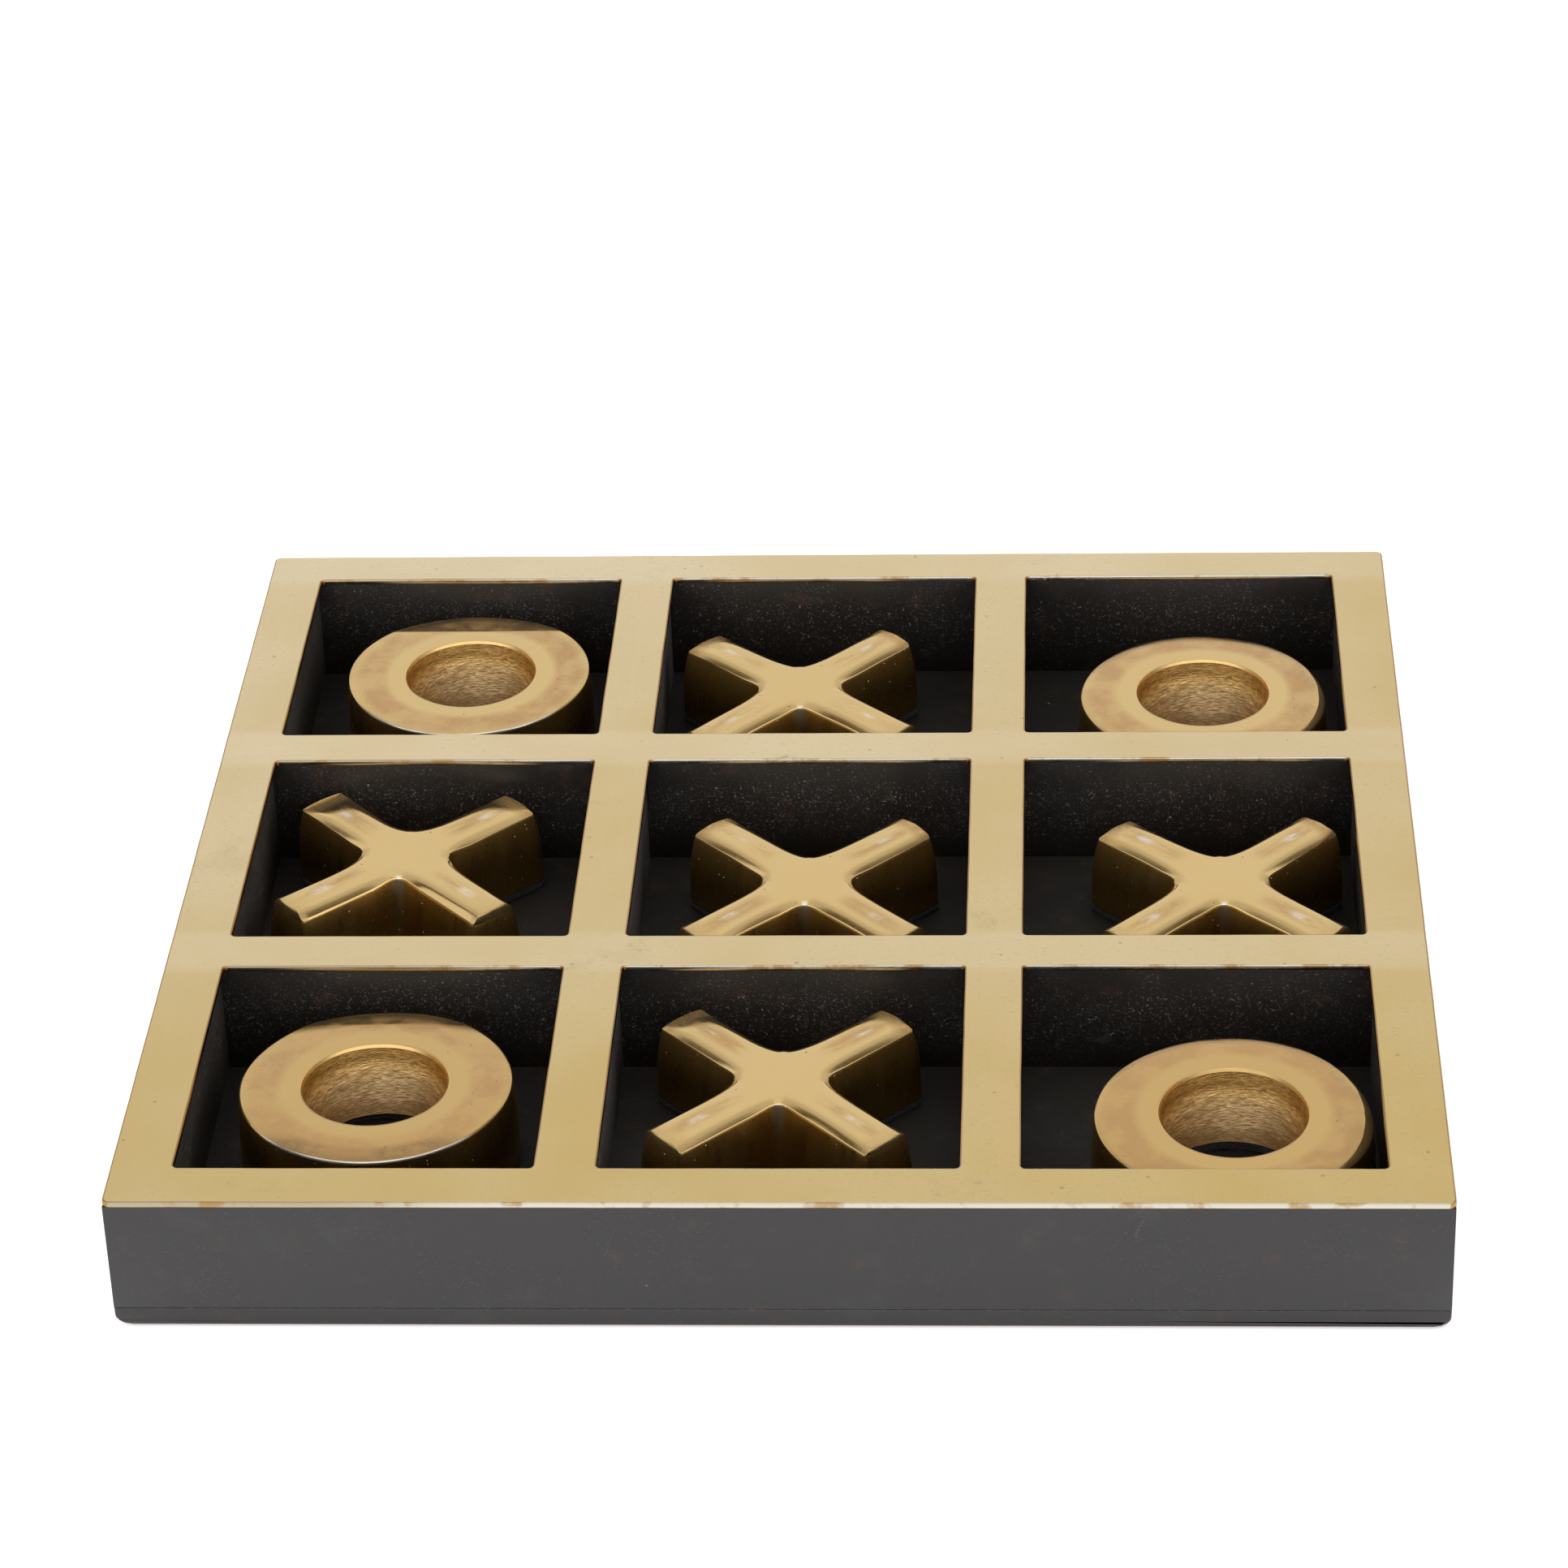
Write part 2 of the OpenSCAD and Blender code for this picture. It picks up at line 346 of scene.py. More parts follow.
class Wires:
    """Adds shader nodes to one tree and links them."""

    def __init__(self, tree: bpy.types.NodeTree) -> None:
        """Keeps the tree that the nodes go into."""
        self.tree = tree

    def feed(self, socket: Socket, value: object) -> None:
        """Links an input to another node's output, or sets it to a constant.

        Args:
            socket: the input.
            value: an output, a number or a colour.
        """
        if isinstance(value, bpy.types.NodeSocket):
            self.tree.links.new(value, socket)
        elif isinstance(value, tuple) and len(value) == 3 and len(socket.default_value) == 4:
            socket.default_value = (*value, 1.0)
        else:
            socket.default_value = value

    def add(self, kind: str, inputs: dict | None = None, **settings: object) -> bpy.types.Node:
        """Adds a node.

        Args:
            kind: Blender's name of the node type.
            inputs: input name or number to a constant or another node's output.
            **settings: options of the node.

        Returns:
            The node.
        """
        node = self.tree.nodes.new(kind)
        for name, value in settings.items():
            setattr(node, name, value)
        for key, value in (inputs or {}).items():
            self.feed(node.inputs[key], value)
        return node

    def maths(self, operation: str, *values: object, clamp: bool = False) -> Socket:
        """The result of a Math node with this operation on these values."""
        inputs = dict(enumerate(values))
        return self.add("ShaderNodeMath", inputs, operation=operation, use_clamp=clamp).outputs[0]

    def plus(self, a: object, b: object, clamp: bool = False) -> Socket:
        """The sum of two values."""
        return self.maths("ADD", a, b, clamp=clamp)

    def less(self, a: object, b: object, clamp: bool = False) -> Socket:
        """The first value less the second."""
        return self.maths("SUBTRACT", a, b, clamp=clamp)

    def size(self, value: object) -> Socket:
        """A value without its sign."""
        return self.maths("ABSOLUTE", value)

    def times(self, *values: object) -> Socket:
        """The product of two or more values."""
        return reduce(lambda a, b: self.maths("MULTIPLY", a, b), values)

    def larger(self, *values: object) -> Socket:
        """The largest of two or more values."""
        return reduce(lambda a, b: self.maths("MAXIMUM", a, b), values)

    def span(self, value: object, low: float | Socket, high: float | Socket, out_low: float = 0.0,
             out_high: float = 1.0) -> Socket:
        """A value eased from one range into another.

        Args:
            value: what is eased.
            low: where it starts to rise.
            high: where it ends.
            out_low: result at low.
            out_high: result at high.

        Returns:
            The eased value.
        """
        inputs = {0: value, 1: low, 2: high, 3: out_low, 4: out_high}
        return self.add("ShaderNodeMapRange", inputs, interpolation_type="SMOOTHSTEP").outputs[0]

    def past(self, place: Socket, start: float, end: float, out_low: float = 0.0,
             out_high: float = 1.0) -> Socket:
        """How far a position has come from start to end, two places in millimetres.

        Args:
            place: the position, in metres.
            start: where the result is out_low.
            end: where the result is out_high.
            out_low: result at start.
            out_high: result at end.

        Returns:
            The eased value.
        """
        return self.span(place, start * MM, end * MM, out_low, out_high)

    def mix(self, share: object, a: object, b: object) -> Socket:
        """Colour a turning into colour b as share goes from 0 to 1."""
        return self.add("ShaderNodeMix", {0: share, 6: a, 7: b}, data_type="RGBA").outputs[2]

    def layered(self, colour: object, *layers: tuple[object, object]) -> Socket:
        """A colour with others laid over it in turn.

        Args:
            colour: the lowest one.
            *layers: the share and the colour of each one over it.

        Returns:
            The colour that shows.
        """
        for share, over in layers:
            colour = self.mix(share, colour, over)
        return colour

    def stretch(self, vector: Socket, scale: Triple) -> Socket:
        """A position scaled along each axis."""
        return self.add("ShaderNodeVectorMath", {0: vector, 1: scale}, operation="MULTIPLY").outputs[0]

    def cloud(self, vector: Socket, size: float, detail: float = 2.0, rough: float = 0.5) -> Socket:
        """Cloudy noise from 0 to 1 whose waves are size millimetres long."""
        inputs = {"Vector": vector, "Scale": 1 / (size * MM), "Detail": detail, "Roughness": rough}
        return self.add("ShaderNodeTexNoise", inputs).outputs[0]

    def effect(self, group: bpy.types.NodeTree, **inputs: object) -> Socket:
        """Places a shared effect in this tree.

        Args:
            group: the effect.
            **inputs: a constant or another node's output for each of its inputs.

        Returns:
            Its one output.
        """
        node = self.add("ShaderNodeGroup", node_tree=group)
        for name, value in inputs.items():
            self.feed(node.inputs[name], value)
        return node.outputs[0]


class Effects:
    """The effects that several finishes share, each a node group that is built once."""

    def __init__(self) -> None:
        """Builds the groups."""
        self.specks = self._specks()
        self.patches = self._patches()
        self.hairlines = self._hairlines()

    @staticmethod
    def _group(name: str, result: str, **knobs: float) -> tuple[Wires, bpy.types.Node, bpy.types.Node]:
        """Starts a node group with a Vector input.

        Args:
            name: its name.
            result: name of its output.
            **knobs: its number inputs with their first values.

        Returns:
            Its wires, its input node and its output node.
        """
        group = bpy.data.node_groups.new(name, "ShaderNodeTree")
        group.interface.new_socket("Vector", in_out="INPUT", socket_type="NodeSocketVector")
        for knob, value in knobs.items():
            made = group.interface.new_socket(knob, in_out="INPUT", socket_type="NodeSocketFloat")
            made.default_value = value
        group.interface.new_socket(result, in_out="OUTPUT", socket_type="NodeSocketFloat")
        wires = Wires(group)
        return wires, wires.add("NodeGroupInput"), wires.add("NodeGroupOutput")

    def _specks(self) -> bpy.types.NodeTree:
        """Small round specks, such as dust or pits; Share is how many cells hold one.

        Returns:
            The group.
        """
        wires, come, go = self._group("specks", "Mask", Scale=500.0, Radius=0.2, Share=0.2)
        inputs = {"Vector": come.outputs["Vector"], "Scale": come.outputs["Scale"]}
        cells = wires.add("ShaderNodeTexVoronoi", inputs)
        lot = wires.add("ShaderNodeSeparateColor", {0: cells.outputs["Color"]})
        size = wires.times(come.outputs["Radius"], wires.plus(lot.outputs[1], 0.25))
        near = wires.less(1.0, wires.maths("DIVIDE", cells.outputs["Distance"], size), clamp=True)
        chosen = wires.maths("LESS_THAN", lot.outputs[0], come.outputs["Share"])
        wires.feed(go.inputs[0], wires.times(wires.span(near, 0.0, 0.6), chosen))
        return wires.tree

    def _patches(self) -> bpy.types.NodeTree:
        """Soft patches where cloudy noise rises from Low to High.

        Returns:
            The group.
        """
        wires, come, go = self._group("patches", "Mask", Scale=100.0, Low=0.5, High=0.65)
        inputs = {"Vector": come.outputs["Vector"], "Scale": come.outputs["Scale"]}
        inputs |= {"Detail": 4.0, "Roughness": 0.6}
        cloud = wires.add("ShaderNodeTexNoise", inputs).outputs[0]
        wires.feed(go.inputs[0], wires.span(cloud, come.outputs["Low"], come.outputs["High"]))
        return wires.tree

    def _hairlines(self) -> bpy.types.NodeTree:
        """Thin broken lines that follow the contours of noise; Width is their width.

        Returns:
            The group.
        """
        wires, come, go = self._group("hairlines", "Mask", Scale=60.0, Width=0.012, Share=0.5)
        inputs = {"Vector": come.outputs["Vector"], "Scale": come.outputs["Scale"], "Detail": 1.0}
        level = wires.add("ShaderNodeTexNoise", inputs).outputs[0]
        off = wires.size(wires.less(level, 0.5))
        line = wires.less(1.0, wires.maths("DIVIDE", off, come.outputs["Width"]), clamp=True)
        inputs = {"Vector": come.outputs["Vector"], "Scale": wires.times(come.outputs["Scale"], 2.7)}
        broken = wires.add("ShaderNodeTexNoise", inputs).outputs[0]
        gate = wires.maths("LESS_THAN", broken, come.outputs["Share"])
        wires.feed(go.inputs[0], wires.times(line, gate))
        return wires.tree


class Finish:
    """What every finish has: a material with its Principled shader, and positions to paint by."""

    def __init__(self, name: str) -> None:
        """Starts an empty material of this name.

        Args:
            name: its name.
        """
        self.material = bpy.data.materials.new(name)
        self.material.use_nodes = True
        self.wires = Wires(self.material.node_tree)
        self.shader = self.material.node_tree.nodes["Principled BSDF"]

    @cached_property
    def where(self) -> Socket:
        """The position on the piece in the board's own frame."""
        return self.wires.add("ShaderNodeTexCoord").outputs["Object"]

    @cached_property
    def made(self) -> Socket:
        """The position on a cross or ring that was made round the origin and not yet turned."""
        return self.wires.add("ShaderNodeAttribute", attribute_name=MADE_AT).outputs["Vector"]

    @cached_property
    def lot(self) -> Socket:
        """The number that sets one piece apart from another."""
        return self.wires.add("ShaderNodeAttribute", attribute_name=LOT).outputs["Fac"]

    @cached_property
    def facing(self) -> Socket:
        """Which way the surface faces."""
        return self.wires.add("ShaderNodeNewGeometry").outputs["Normal"]

    def split(self, vector: Socket) -> tuple[Socket, Socket, Socket]:
        """The x, y and z of a vector."""
        parts = self.wires.add("ShaderNodeSeparateXYZ", {0: vector}).outputs
        return parts[0], parts[1], parts[2]

    def set(self, **values: object) -> None:
        """Feeds the shader's sockets; an underscore in a name stands for a space."""
        for name, value in values.items():
            self.wires.feed(self.shader.inputs[name.replace("_", " ")], value)

    def effect(self, group: bpy.types.NodeTree, size: float, **inputs: object) -> Socket:
        """A shared effect laid over the piece, its cells size millimetres wide."""
        return self.wires.effect(group, Vector=self.where, Scale=1 / (size * MM), **inputs)

    def cloud(self, scale: Triple, size: float, detail: float, rough: float = 0.5) -> Socket:
        """Cloudy noise laid over the piece, its position scaled along each axis first."""
        return self.wires.cloud(self.wires.stretch(self.where, scale), size, detail, rough)

    def bump(self, height: object, depth: float, under: Socket | None = None) -> Socket:
        """A bump of a depth in millimetres.

        Args:
            height: from 0 to 1.
            depth: how deep the bump is.
            under: the normal that it is laid on.

        Returns:
            The bumped normal.
        """
        inputs = {"Height": height, "Distance": depth * MM, "Strength": 1.0}
        if under is not None:
            inputs["Normal"] = under
        return self.wires.add("ShaderNodeBump", inputs).outputs[0]


@dataclass(frozen=True)
class SheetBrass:
    """Hand-polished sheet brass with pale haze, brushed lines and silvery filed edges, and painted
    reflection that pales it at the back left and on the bars across and turns the sideways filed edges
    orange.
    """

    gold: Colour = (0.59, 0.42, 0.145)
    pale: Colour = (0.76, 0.63, 0.41)
    smudge: Colour = (0.33, 0.25, 0.13)
    filed: Colour = (0.58, 0.53, 0.43)
    rust: Colour = (0.36, 0.19, 0.05)
    bar_middle: float = 31.7

    def across(self, finish: Finish) -> Socket:
        """Where the brushing runs from left to right.

        Args:
            finish: the material being built.

        Returns:
            A mask: 1 on the two inner bars across and on the back border.
        """
        wires = finish.wires
        _, y, _ = finish.split(finish.where)
        off_bar = wires.size(wires.less(wires.size(y), self.bar_middle * MM))
        return wires.larger(wires.past(off_bar, 7.0, 4.0), wires.past(y, 88.0, 92.0))

    def paleness_and_reflection(self, finish: Finish, across: Socket, haze: Socket) -> Socket:
        """How pale the brass is: haze at random, and painted reflection that is palest at the back left
        and on the bars across and fades towards the front.

        Args:
            finish: the material being built.
            across: where the brushing runs from left to right.
            haze: cloudy noise.

        Returns:
            A share from 0 to 1.
        """
        wires = finish.wires
        x, y, _ = finish.split(finish.where)
        # Painted reflection: paler towards the back left and on the bars across, less pale towards the
        # front.
        share = wires.plus(wires.times(wires.less(y, x), 1.2), 0.44)
        share = wires.plus(wires.times(across, 0.22), share)
        share = wires.less(share, wires.past(y, -10.0, -75.0, 0.0, 0.15))
        return wires.plus(share, wires.span(haze, 0.3, 0.7, -0.12, 0.16), clamp=True)

    def pits(self, finish: Finish, effects: Effects, haze: Socket) -> Socket:
        """Pits, small specks and grime.

        Args:
            finish: the material being built.
            effects: the shared effects.
            haze: cloudy noise that gathers the grime.

        Returns:
            A mask.
        """
        wires = finish.wires
        large = finish.effect(effects.specks, 3.2, Radius=0.13, Share=0.25)
        small = finish.effect(effects.specks, 1.3, Radius=0.085, Share=0.13)
        grime = wires.span(finish.cloud((0.5, 1.0, 1.0), 0.5, 3.0, 0.7), 0.56, 0.72)
        return wires.larger(large, small, wires.times(grime, wires.span(haze, 0.42, 0.62, 0.15, 0.5)))

    def cut_edge(self, finish: Finish, effects: Effects) -> Socket:
        """Colour of the filed edges: silvery, with rust here and there, and painted orange reflection on
        the edges that face sideways.

        Args:
            finish: the material being built.
            effects: the shared effects.

        Returns:
            The colour.
        """
        wires = finish.wires
        x, _, _ = finish.split(finish.where)
        sideways, _, _ = finish.split(finish.facing)
        rusty = wires.times(finish.effect(effects.patches, 6, Low=0.5, High=0.62), 0.7)
        # Painted reflection: filed edges that face left and right take the orange-brown rust colour.
        painted_side_reflection = wires.span(wires.size(sideways), 0.12, 0.3, 0.0, 0.9)
        return wires.layered(
            self.filed,
            (wires.past(x, -40.0, -70.0, 0.0, 0.7), self.smudge),
            (wires.larger(rusty, painted_side_reflection), self.rust),
        )

    def make(self, effects: Effects) -> bpy.types.Material:
        """Builds the material.

        Args:
            effects: the shared effects.

        Returns:
            The material.
        """
        finish = Finish("sheet_brass")
        wires = finish.wires
        _, _, up = finish.split(finish.facing)
        across = self.across(finish)
        haze = wires.cloud(finish.where, 38, 3.0)
        pits = self.pits(finish, effects, haze)
        smudges = finish.effect(effects.patches, 17, Low=0.60, High=0.72)
        fine = finish.effect(effects.patches, 2.2, Low=0.52, High=0.70)
        tarnish = wires.times(smudges, wires.plus(wires.times(fine, 0.4), 0.12))
        dark = wires.plus(tarnish, wires.times(pits, 0.55), clamp=True)
        metal = wires.layered(
            self.gold,
            (self.paleness_and_reflection(finish, across, haze), self.pale),
            (dark, self.smudge),
            (wires.span(up, 0.993, 0.965), self.cut_edge(finish, effects)),
        )
        along_x = finish.cloud((1.0, 14.0, 1.0), 9, 3.0)
        along_y = finish.cloud((14.0, 1.0, 1.0), 9, 3.0)
        streaks = wires.mix(across, along_y, along_x)
        rough = wires.plus(wires.span(streaks, 0.3, 0.7, 0.17, 0.27), wires.times(dark, 0.2))
        finish.set(Base_Color=metal, Metallic=1.0, Roughness=rough)
        waves = finish.bump(wires.cloud(finish.where, 26, 1.0), 0.10)
        brushed = finish.bump(streaks, 0.004, waves)
        finish.set(Normal=finish.bump(wires.less(1.0, pits), 0.02, brushed))
        return finish.material


class CastFinish(Finish):
    """What the polished tops of the crosses and of the rings share."""

    def __init__(self, name: str, effects: Effects) -> None:
        """Starts the material and its fine noise.

        Args:
            name: its name.
            effects: the shared effects.
        """
        super().__init__(name)
        self.effects = effects
        self.fine = self.wires.cloud(self.where, 0.8, 4.0, 0.7)

    def blotches(self, spread: Socket, size: float, low: float, high: float) -> Socket:
        """Soft patches that lie elsewhere on every piece.

        Args:
            spread: the position that they are laid over.
            size: about how wide they are, in millimetres.
            low: the noise where they start.
            high: the noise where they are full.

        Returns:
            A mask.
        """
        wires = self.wires
        own = wires.add("ShaderNodeCombineXYZ", {2: self.lot}).outputs[0]
        place = wires.add("ShaderNodeVectorMath", {0: spread, 1: own}, operation="ADD").outputs[0]
        return wires.effect(self.effects.patches, Vector=place, Scale=1 / (size * MM), Low=low, High=high)

    def patina(self, spread: Socket, zone: Socket) -> Socket:
        """Brown patches inside a zone.

        Args:
            spread: the position that they are laid over.
            zone: where they may lie.

        Returns:
            A mask.
        """
        grainy = self.wires.span(self.fine, 0.2, 0.6, 0.5, 0.8)
        return self.wires.times(zone, self.blotches(spread, 6, 0.36, 0.60), grainy)

    def polish(self, metal: Socket, patina: Socket, dull: Socket, softer: Socket) -> None:
        """Adds fine pits and feeds the shader.

        Args:
            metal: the colour.
            patina: where it is stained brown.
            dull: how much less of a metal it is.
            softer: where it mirrors less sharply.
        """
        wires = self.wires
        pits = self.effect(self.effects.specks, 1.7, Radius=0.12, Share=0.16)
        self.set(Base_Color=wires.mix(wires.times(pits, 0.6), metal, (0.12, 0.08, 0.04)))
        self.set(Metallic=wires.less(1.0, dull, clamp=True))
        blur = wires.plus(wires.times(patina, 0.16), wires.span(self.fine, 0.3, 0.7, 0.09, 0.15))
        self.set(Roughness=wires.plus(blur, wires.times(softer, 0.17)))
        waves = self.bump(wires.cloud(self.where, 6, 1.0), 0.02)
        self.set(Normal=self.bump(wires.less(1.0, pits), 0.03, waves))


@dataclass(frozen=True)
class CrossTop:
    """The domed top of a cross: brown patina along the arms and at their ends, the two back ends darker
    still with painted shade, with worn pale spots and a painted highlight at the near crotch.

    Positions are measured in millimetres from the middle of the cross, with its arms along x and y.
    """

    gold: Colour = (0.70, 0.50, 0.22)
    brown: Colour = (0.44, 0.26, 0.09)
    worn: Colour = (0.78, 0.71, 0.62)
    painted_highlight: Colour = (1.0, 0.95, 0.84)
    crotch: float = 5.1

    def arms(self, finish: CastFinish) -> tuple[Socket, Socket, Socket]:
        """Positions by arm.

        Args:
            finish: the material being built.

        Returns:
            How far out along the nearest arm, how far beside its middle, and a position of their
            own for the patches on each arm, which are long along it.
        """
        wires = finish.wires
        x, y, _ = finish.split(finish.made)
        from_y, from_x = wires.size(x), wires.size(y)
        along, aside = wires.larger(from_y, from_x), wires.maths("MINIMUM", from_y, from_x)
        corner = wires.plus(wires.maths("SIGN", wires.plus(x, y)), wires.maths("SIGN", y))
        spread = {0: wires.times(along, 0.5), 1: wires.times(aside, 2.0), 2: corner}
        return along, aside, wires.add("ShaderNodeCombineXYZ", spread).outputs[0]

    def tips_patina_and_shade(self, finish: CastFinish, along: Socket) -> Socket:
        """Brown patina at the ends of the arms, with painted shade that darkens the two back ones more.

        Args:
            finish: the material being built.
            along: how far out along the arm.

        Returns:
            A mask.
        """
        wires = finish.wires
        x, y, _ = finish.split(finish.made)
        _, _, up = finish.split(finish.facing)
        grainy = wires.span(finish.fine, 0.3, 0.55, 0.4, 0.95)
        # Painted shade on top of the patina: the two back arms' ends are darkened more than the front
        # ones.
        back = wires.past(wires.plus(x, y), -1.0, 1.0, 0.4, 1.0)
        return wires.times(wires.past(along, 20.0, 23.5), grainy, back, wires.span(up, 0.6, 0.75))

    def bends(self, finish: CastFinish, along: Socket) -> Socket:
        """The left and right crotch and the falling ends of the arms, where the polish is softer.

        Args:
            finish: the material being built.
            along: how far out along the arm.

        Returns:
            A mask.
        """
        wires = finish.wires
        x, y, _ = finish.split(finish.made)
        _, _, up = finish.split(finish.facing)
        off_x, off_y = (wires.size(wires.less(wires.size(v), self.crotch * MM)) for v in (x, y))
        bend = wires.past(wires.plus(off_x, off_y), 2.6, 1.0)
        bend = wires.times(bend, wires.span(wires.times(x, y), 0.0, -0.00001))
        ends = wires.times(wires.past(along, 22.2, 23.2), wires.span(up, 0.85, 0.7), 0.6)
        return wires.larger(bend, ends)

    def make(self, effects: Effects) -> bpy.types.Material:
        """Builds the material.

        Args:
            effects: the shared effects.

        Returns:
            The material.
        """
        finish = CastFinish("cast_top_cross", effects)
        wires = finish.wires
        x, y, _ = finish.split(finish.made)
        along, aside, spread = self.arms(finish)
        zone = wires.times(wires.past(along, 7.0, 12.0), wires.past(along, 27.0, 18.0))
        patina = finish.patina(spread, wires.times(zone, wires.past(aside, 2.4, 0.4)))
        patina = wires.larger(patina, self.tips_patina_and_shade(finish, along))
        rubbed = wires.times(wires.past(along, 14.5, 16.5), wires.past(along, 19.5, 17.5))
        rubbed = wires.times(rubbed, wires.past(aside, 1.1, 0.1), finish.blotches(spread, 4, 0.40, 0.55))
        # Painted highlight: the near crotch is lightened towards the highlight colour.
        near_x, near_y = (wires.size(wires.plus(v, self.crotch * MM)) for v in (x, y))
        metal = wires.layered(
            self.gold,
            (patina, self.brown),
            (wires.times(rubbed, wires.span(finish.fine, 0.25, 0.6, 0.2, 0.75)), self.worn),
            (wires.past(wires.plus(near_x, near_y), 0.9, 0.3, 0.0, 0.65), self.painted_highlight),
        )
        softer = wires.times(self.bends(finish, along), 2.0)
        finish.polish(metal, patina, wires.times(patina, 0.3), softer)
        return finish.material


@dataclass(frozen=True)
class RingTop:
    """The top of a ring: brown further out, a painted highlight on its near rim, painted shade inside that
    rim and on the far flat, and a golden bevel round its bore that catches the light.

    Positions are measured in millimetres from the middle of the ring. The two rings in the front
    have the higher lots and are deeper in colour.
    """

    gold: Colour = (0.69, 0.49, 0.214)
    brown: Colour = (0.43, 0.245, 0.09)
    deep: Colour = (0.55, 0.352, 0.124)
    outer: Colour = (0.47, 0.27, 0.10)
    bevel: Colour = (0.74, 0.50, 0.20)
    painted_highlight: Colour = (1.0, 0.95, 0.84)
    painted_shade: Colour = (0.22, 0.13, 0.06)
    back_lot: float = 0.70
    front_lot: float = 0.80

    def shade(self, finish: CastFinish, out: Socket) -> Socket:
        """Painted shade: a dusky band inside the near rim, and the flat that was ground on the far side
        darkened where it faces away.

        Args:
            finish: the material being built.
            out: distance from the middle.

        Returns:
            A mask.
        """
        wires = finish.wires
        _, y, _ = finish.split(finish.made)
        _, away, up = finish.split(finish.facing)
        # Painted shade: a dark band inside the near rim of the front rings, and the far flat where it
        # faces away.
        band = wires.times(wires.past(y, -12.0, -16.0), wires.past(out, 16.6, 18.2))
        band = wires.times(band, wires.span(finish.lot, self.back_lot, self.front_lot, 0.08, 0.75))
        band = wires.times(band, wires.span(up, 0.78, 0.86))
        flat = wires.span(away, 0.05, 0.10, 0.0, 0.55)
        return wires.times(wires.larger(band, flat), wires.span(finish.fine, 0.3, 0.5, 0.5, 1.0))

    def make(self, effects: Effects) -> bpy.types.Material:
        """Builds the material.

        Args:
            effects: the shared effects.

        Returns:
            The material.
        """
        finish = CastFinish("cast_top_ring", effects)
        wires = finish.wires
        x, y, _ = finish.split(finish.made)
        _, _, up = finish.split(finish.facing)
        squares = wires.plus(wires.maths("POWER", x, 2.0), wires.maths("POWER", y, 2.0))
        out = wires.maths("SQRT", squares)
        zone = wires.times(wires.past(out, 14.0, 16.2), wires.past(out, 20.6, 18.6, 0.35, 1.0))
        patina = finish.patina(finish.where, zone)
        bevel = wires.past(out, 11.53, 11.49)
        # Painted highlight: a pale line along the near rim.
        rim = wires.times(wires.span(up, 0.86, 0.80), wires.past(y, -12.0, -15.0))
        metal = wires.layered(
            self.gold,
            (wires.span(finish.lot, self.back_lot, self.front_lot, 0.0, 0.6), self.deep),
            (wires.times(zone, 0.45), self.outer),
            (self.shade(finish, out), self.painted_shade),
            (bevel, self.bevel),
            (wires.times(rim, 0.85), self.painted_highlight),
            (patina, self.brown),
        )
        dull = wires.plus(wires.times(patina, 0.3), wires.times(zone, 0.16))
        chamfer = wires.times(wires.span(up, 0.82, 0.72), wires.past(x, 12.0, 16.0), 2.0)
        finish.polish(metal, patina, dull, wires.larger(bevel, chamfer))
        return finish.material


@dataclass(frozen=True)
class CastSide:
    """The dark, dusty sides of the cast pieces, with a painted highlight down the near crotch of each
    cross.
    """

    bronze: Colour = (0.85, 0.52, 0.15)
    dark: Colour = (0.50, 0.29, 0.07)
    dust: Colour = (0.80, 0.74, 0.64)

    def crotch_highlight(self, finish: Finish) -> Socket:
        """A painted highlight: a pale band down the near crotch of a cross.

        Args:
            finish: the material being built.

        Returns:
            A mask that fades towards the foot.
        """
        wires = finish.wires
        x, y, z = finish.split(finish.made)
        both, aside = wires.plus(x, y), wires.size(wires.less(x, y))
        crotch_highlight = wires.times(wires.past(both, -19.0, -17.0), wires.past(both, -8.0, -9.0))
        return wires.times(crotch_highlight, wires.past(aside, 2.2, 0.0), wires.past(z, 6.0, 12.8, 0.04, 0.45))

    def make(self, effects: Effects) -> bpy.types.Material:
        """Builds the material.

        Args:
            effects: the shared effects.

        Returns:
            The material.
        """
        finish = Finish("cast_side")
        wires = finish.wires
        runs = finish.cloud((1.0, 1.0, 0.22), 2.4, 3.0, 0.55)
        motes = finish.effect(effects.specks, 0.9, Radius=0.14, Share=0.22)
        # Dust specks and the painted highlight down the near crotch both take the pale dust colour.
        metal = wires.layered(
            self.bronze,
            (wires.span(runs, 0.3, 0.7, 0.25, 0.75), self.dark),
            (wires.larger(wires.times(motes, 0.85), self.crotch_highlight(finish)), self.dust),
        )
        finish.set(Base_Color=metal, Metallic=wires.less(1.0, wires.times(motes, 0.9)))
        finish.set(Roughness=wires.span(runs, 0.2, 0.8, 0.24, 0.38))
        finish.set(Normal=finish.bump(wires.cloud(finish.where, 5, 1.0), 0.03))
        return finish.material


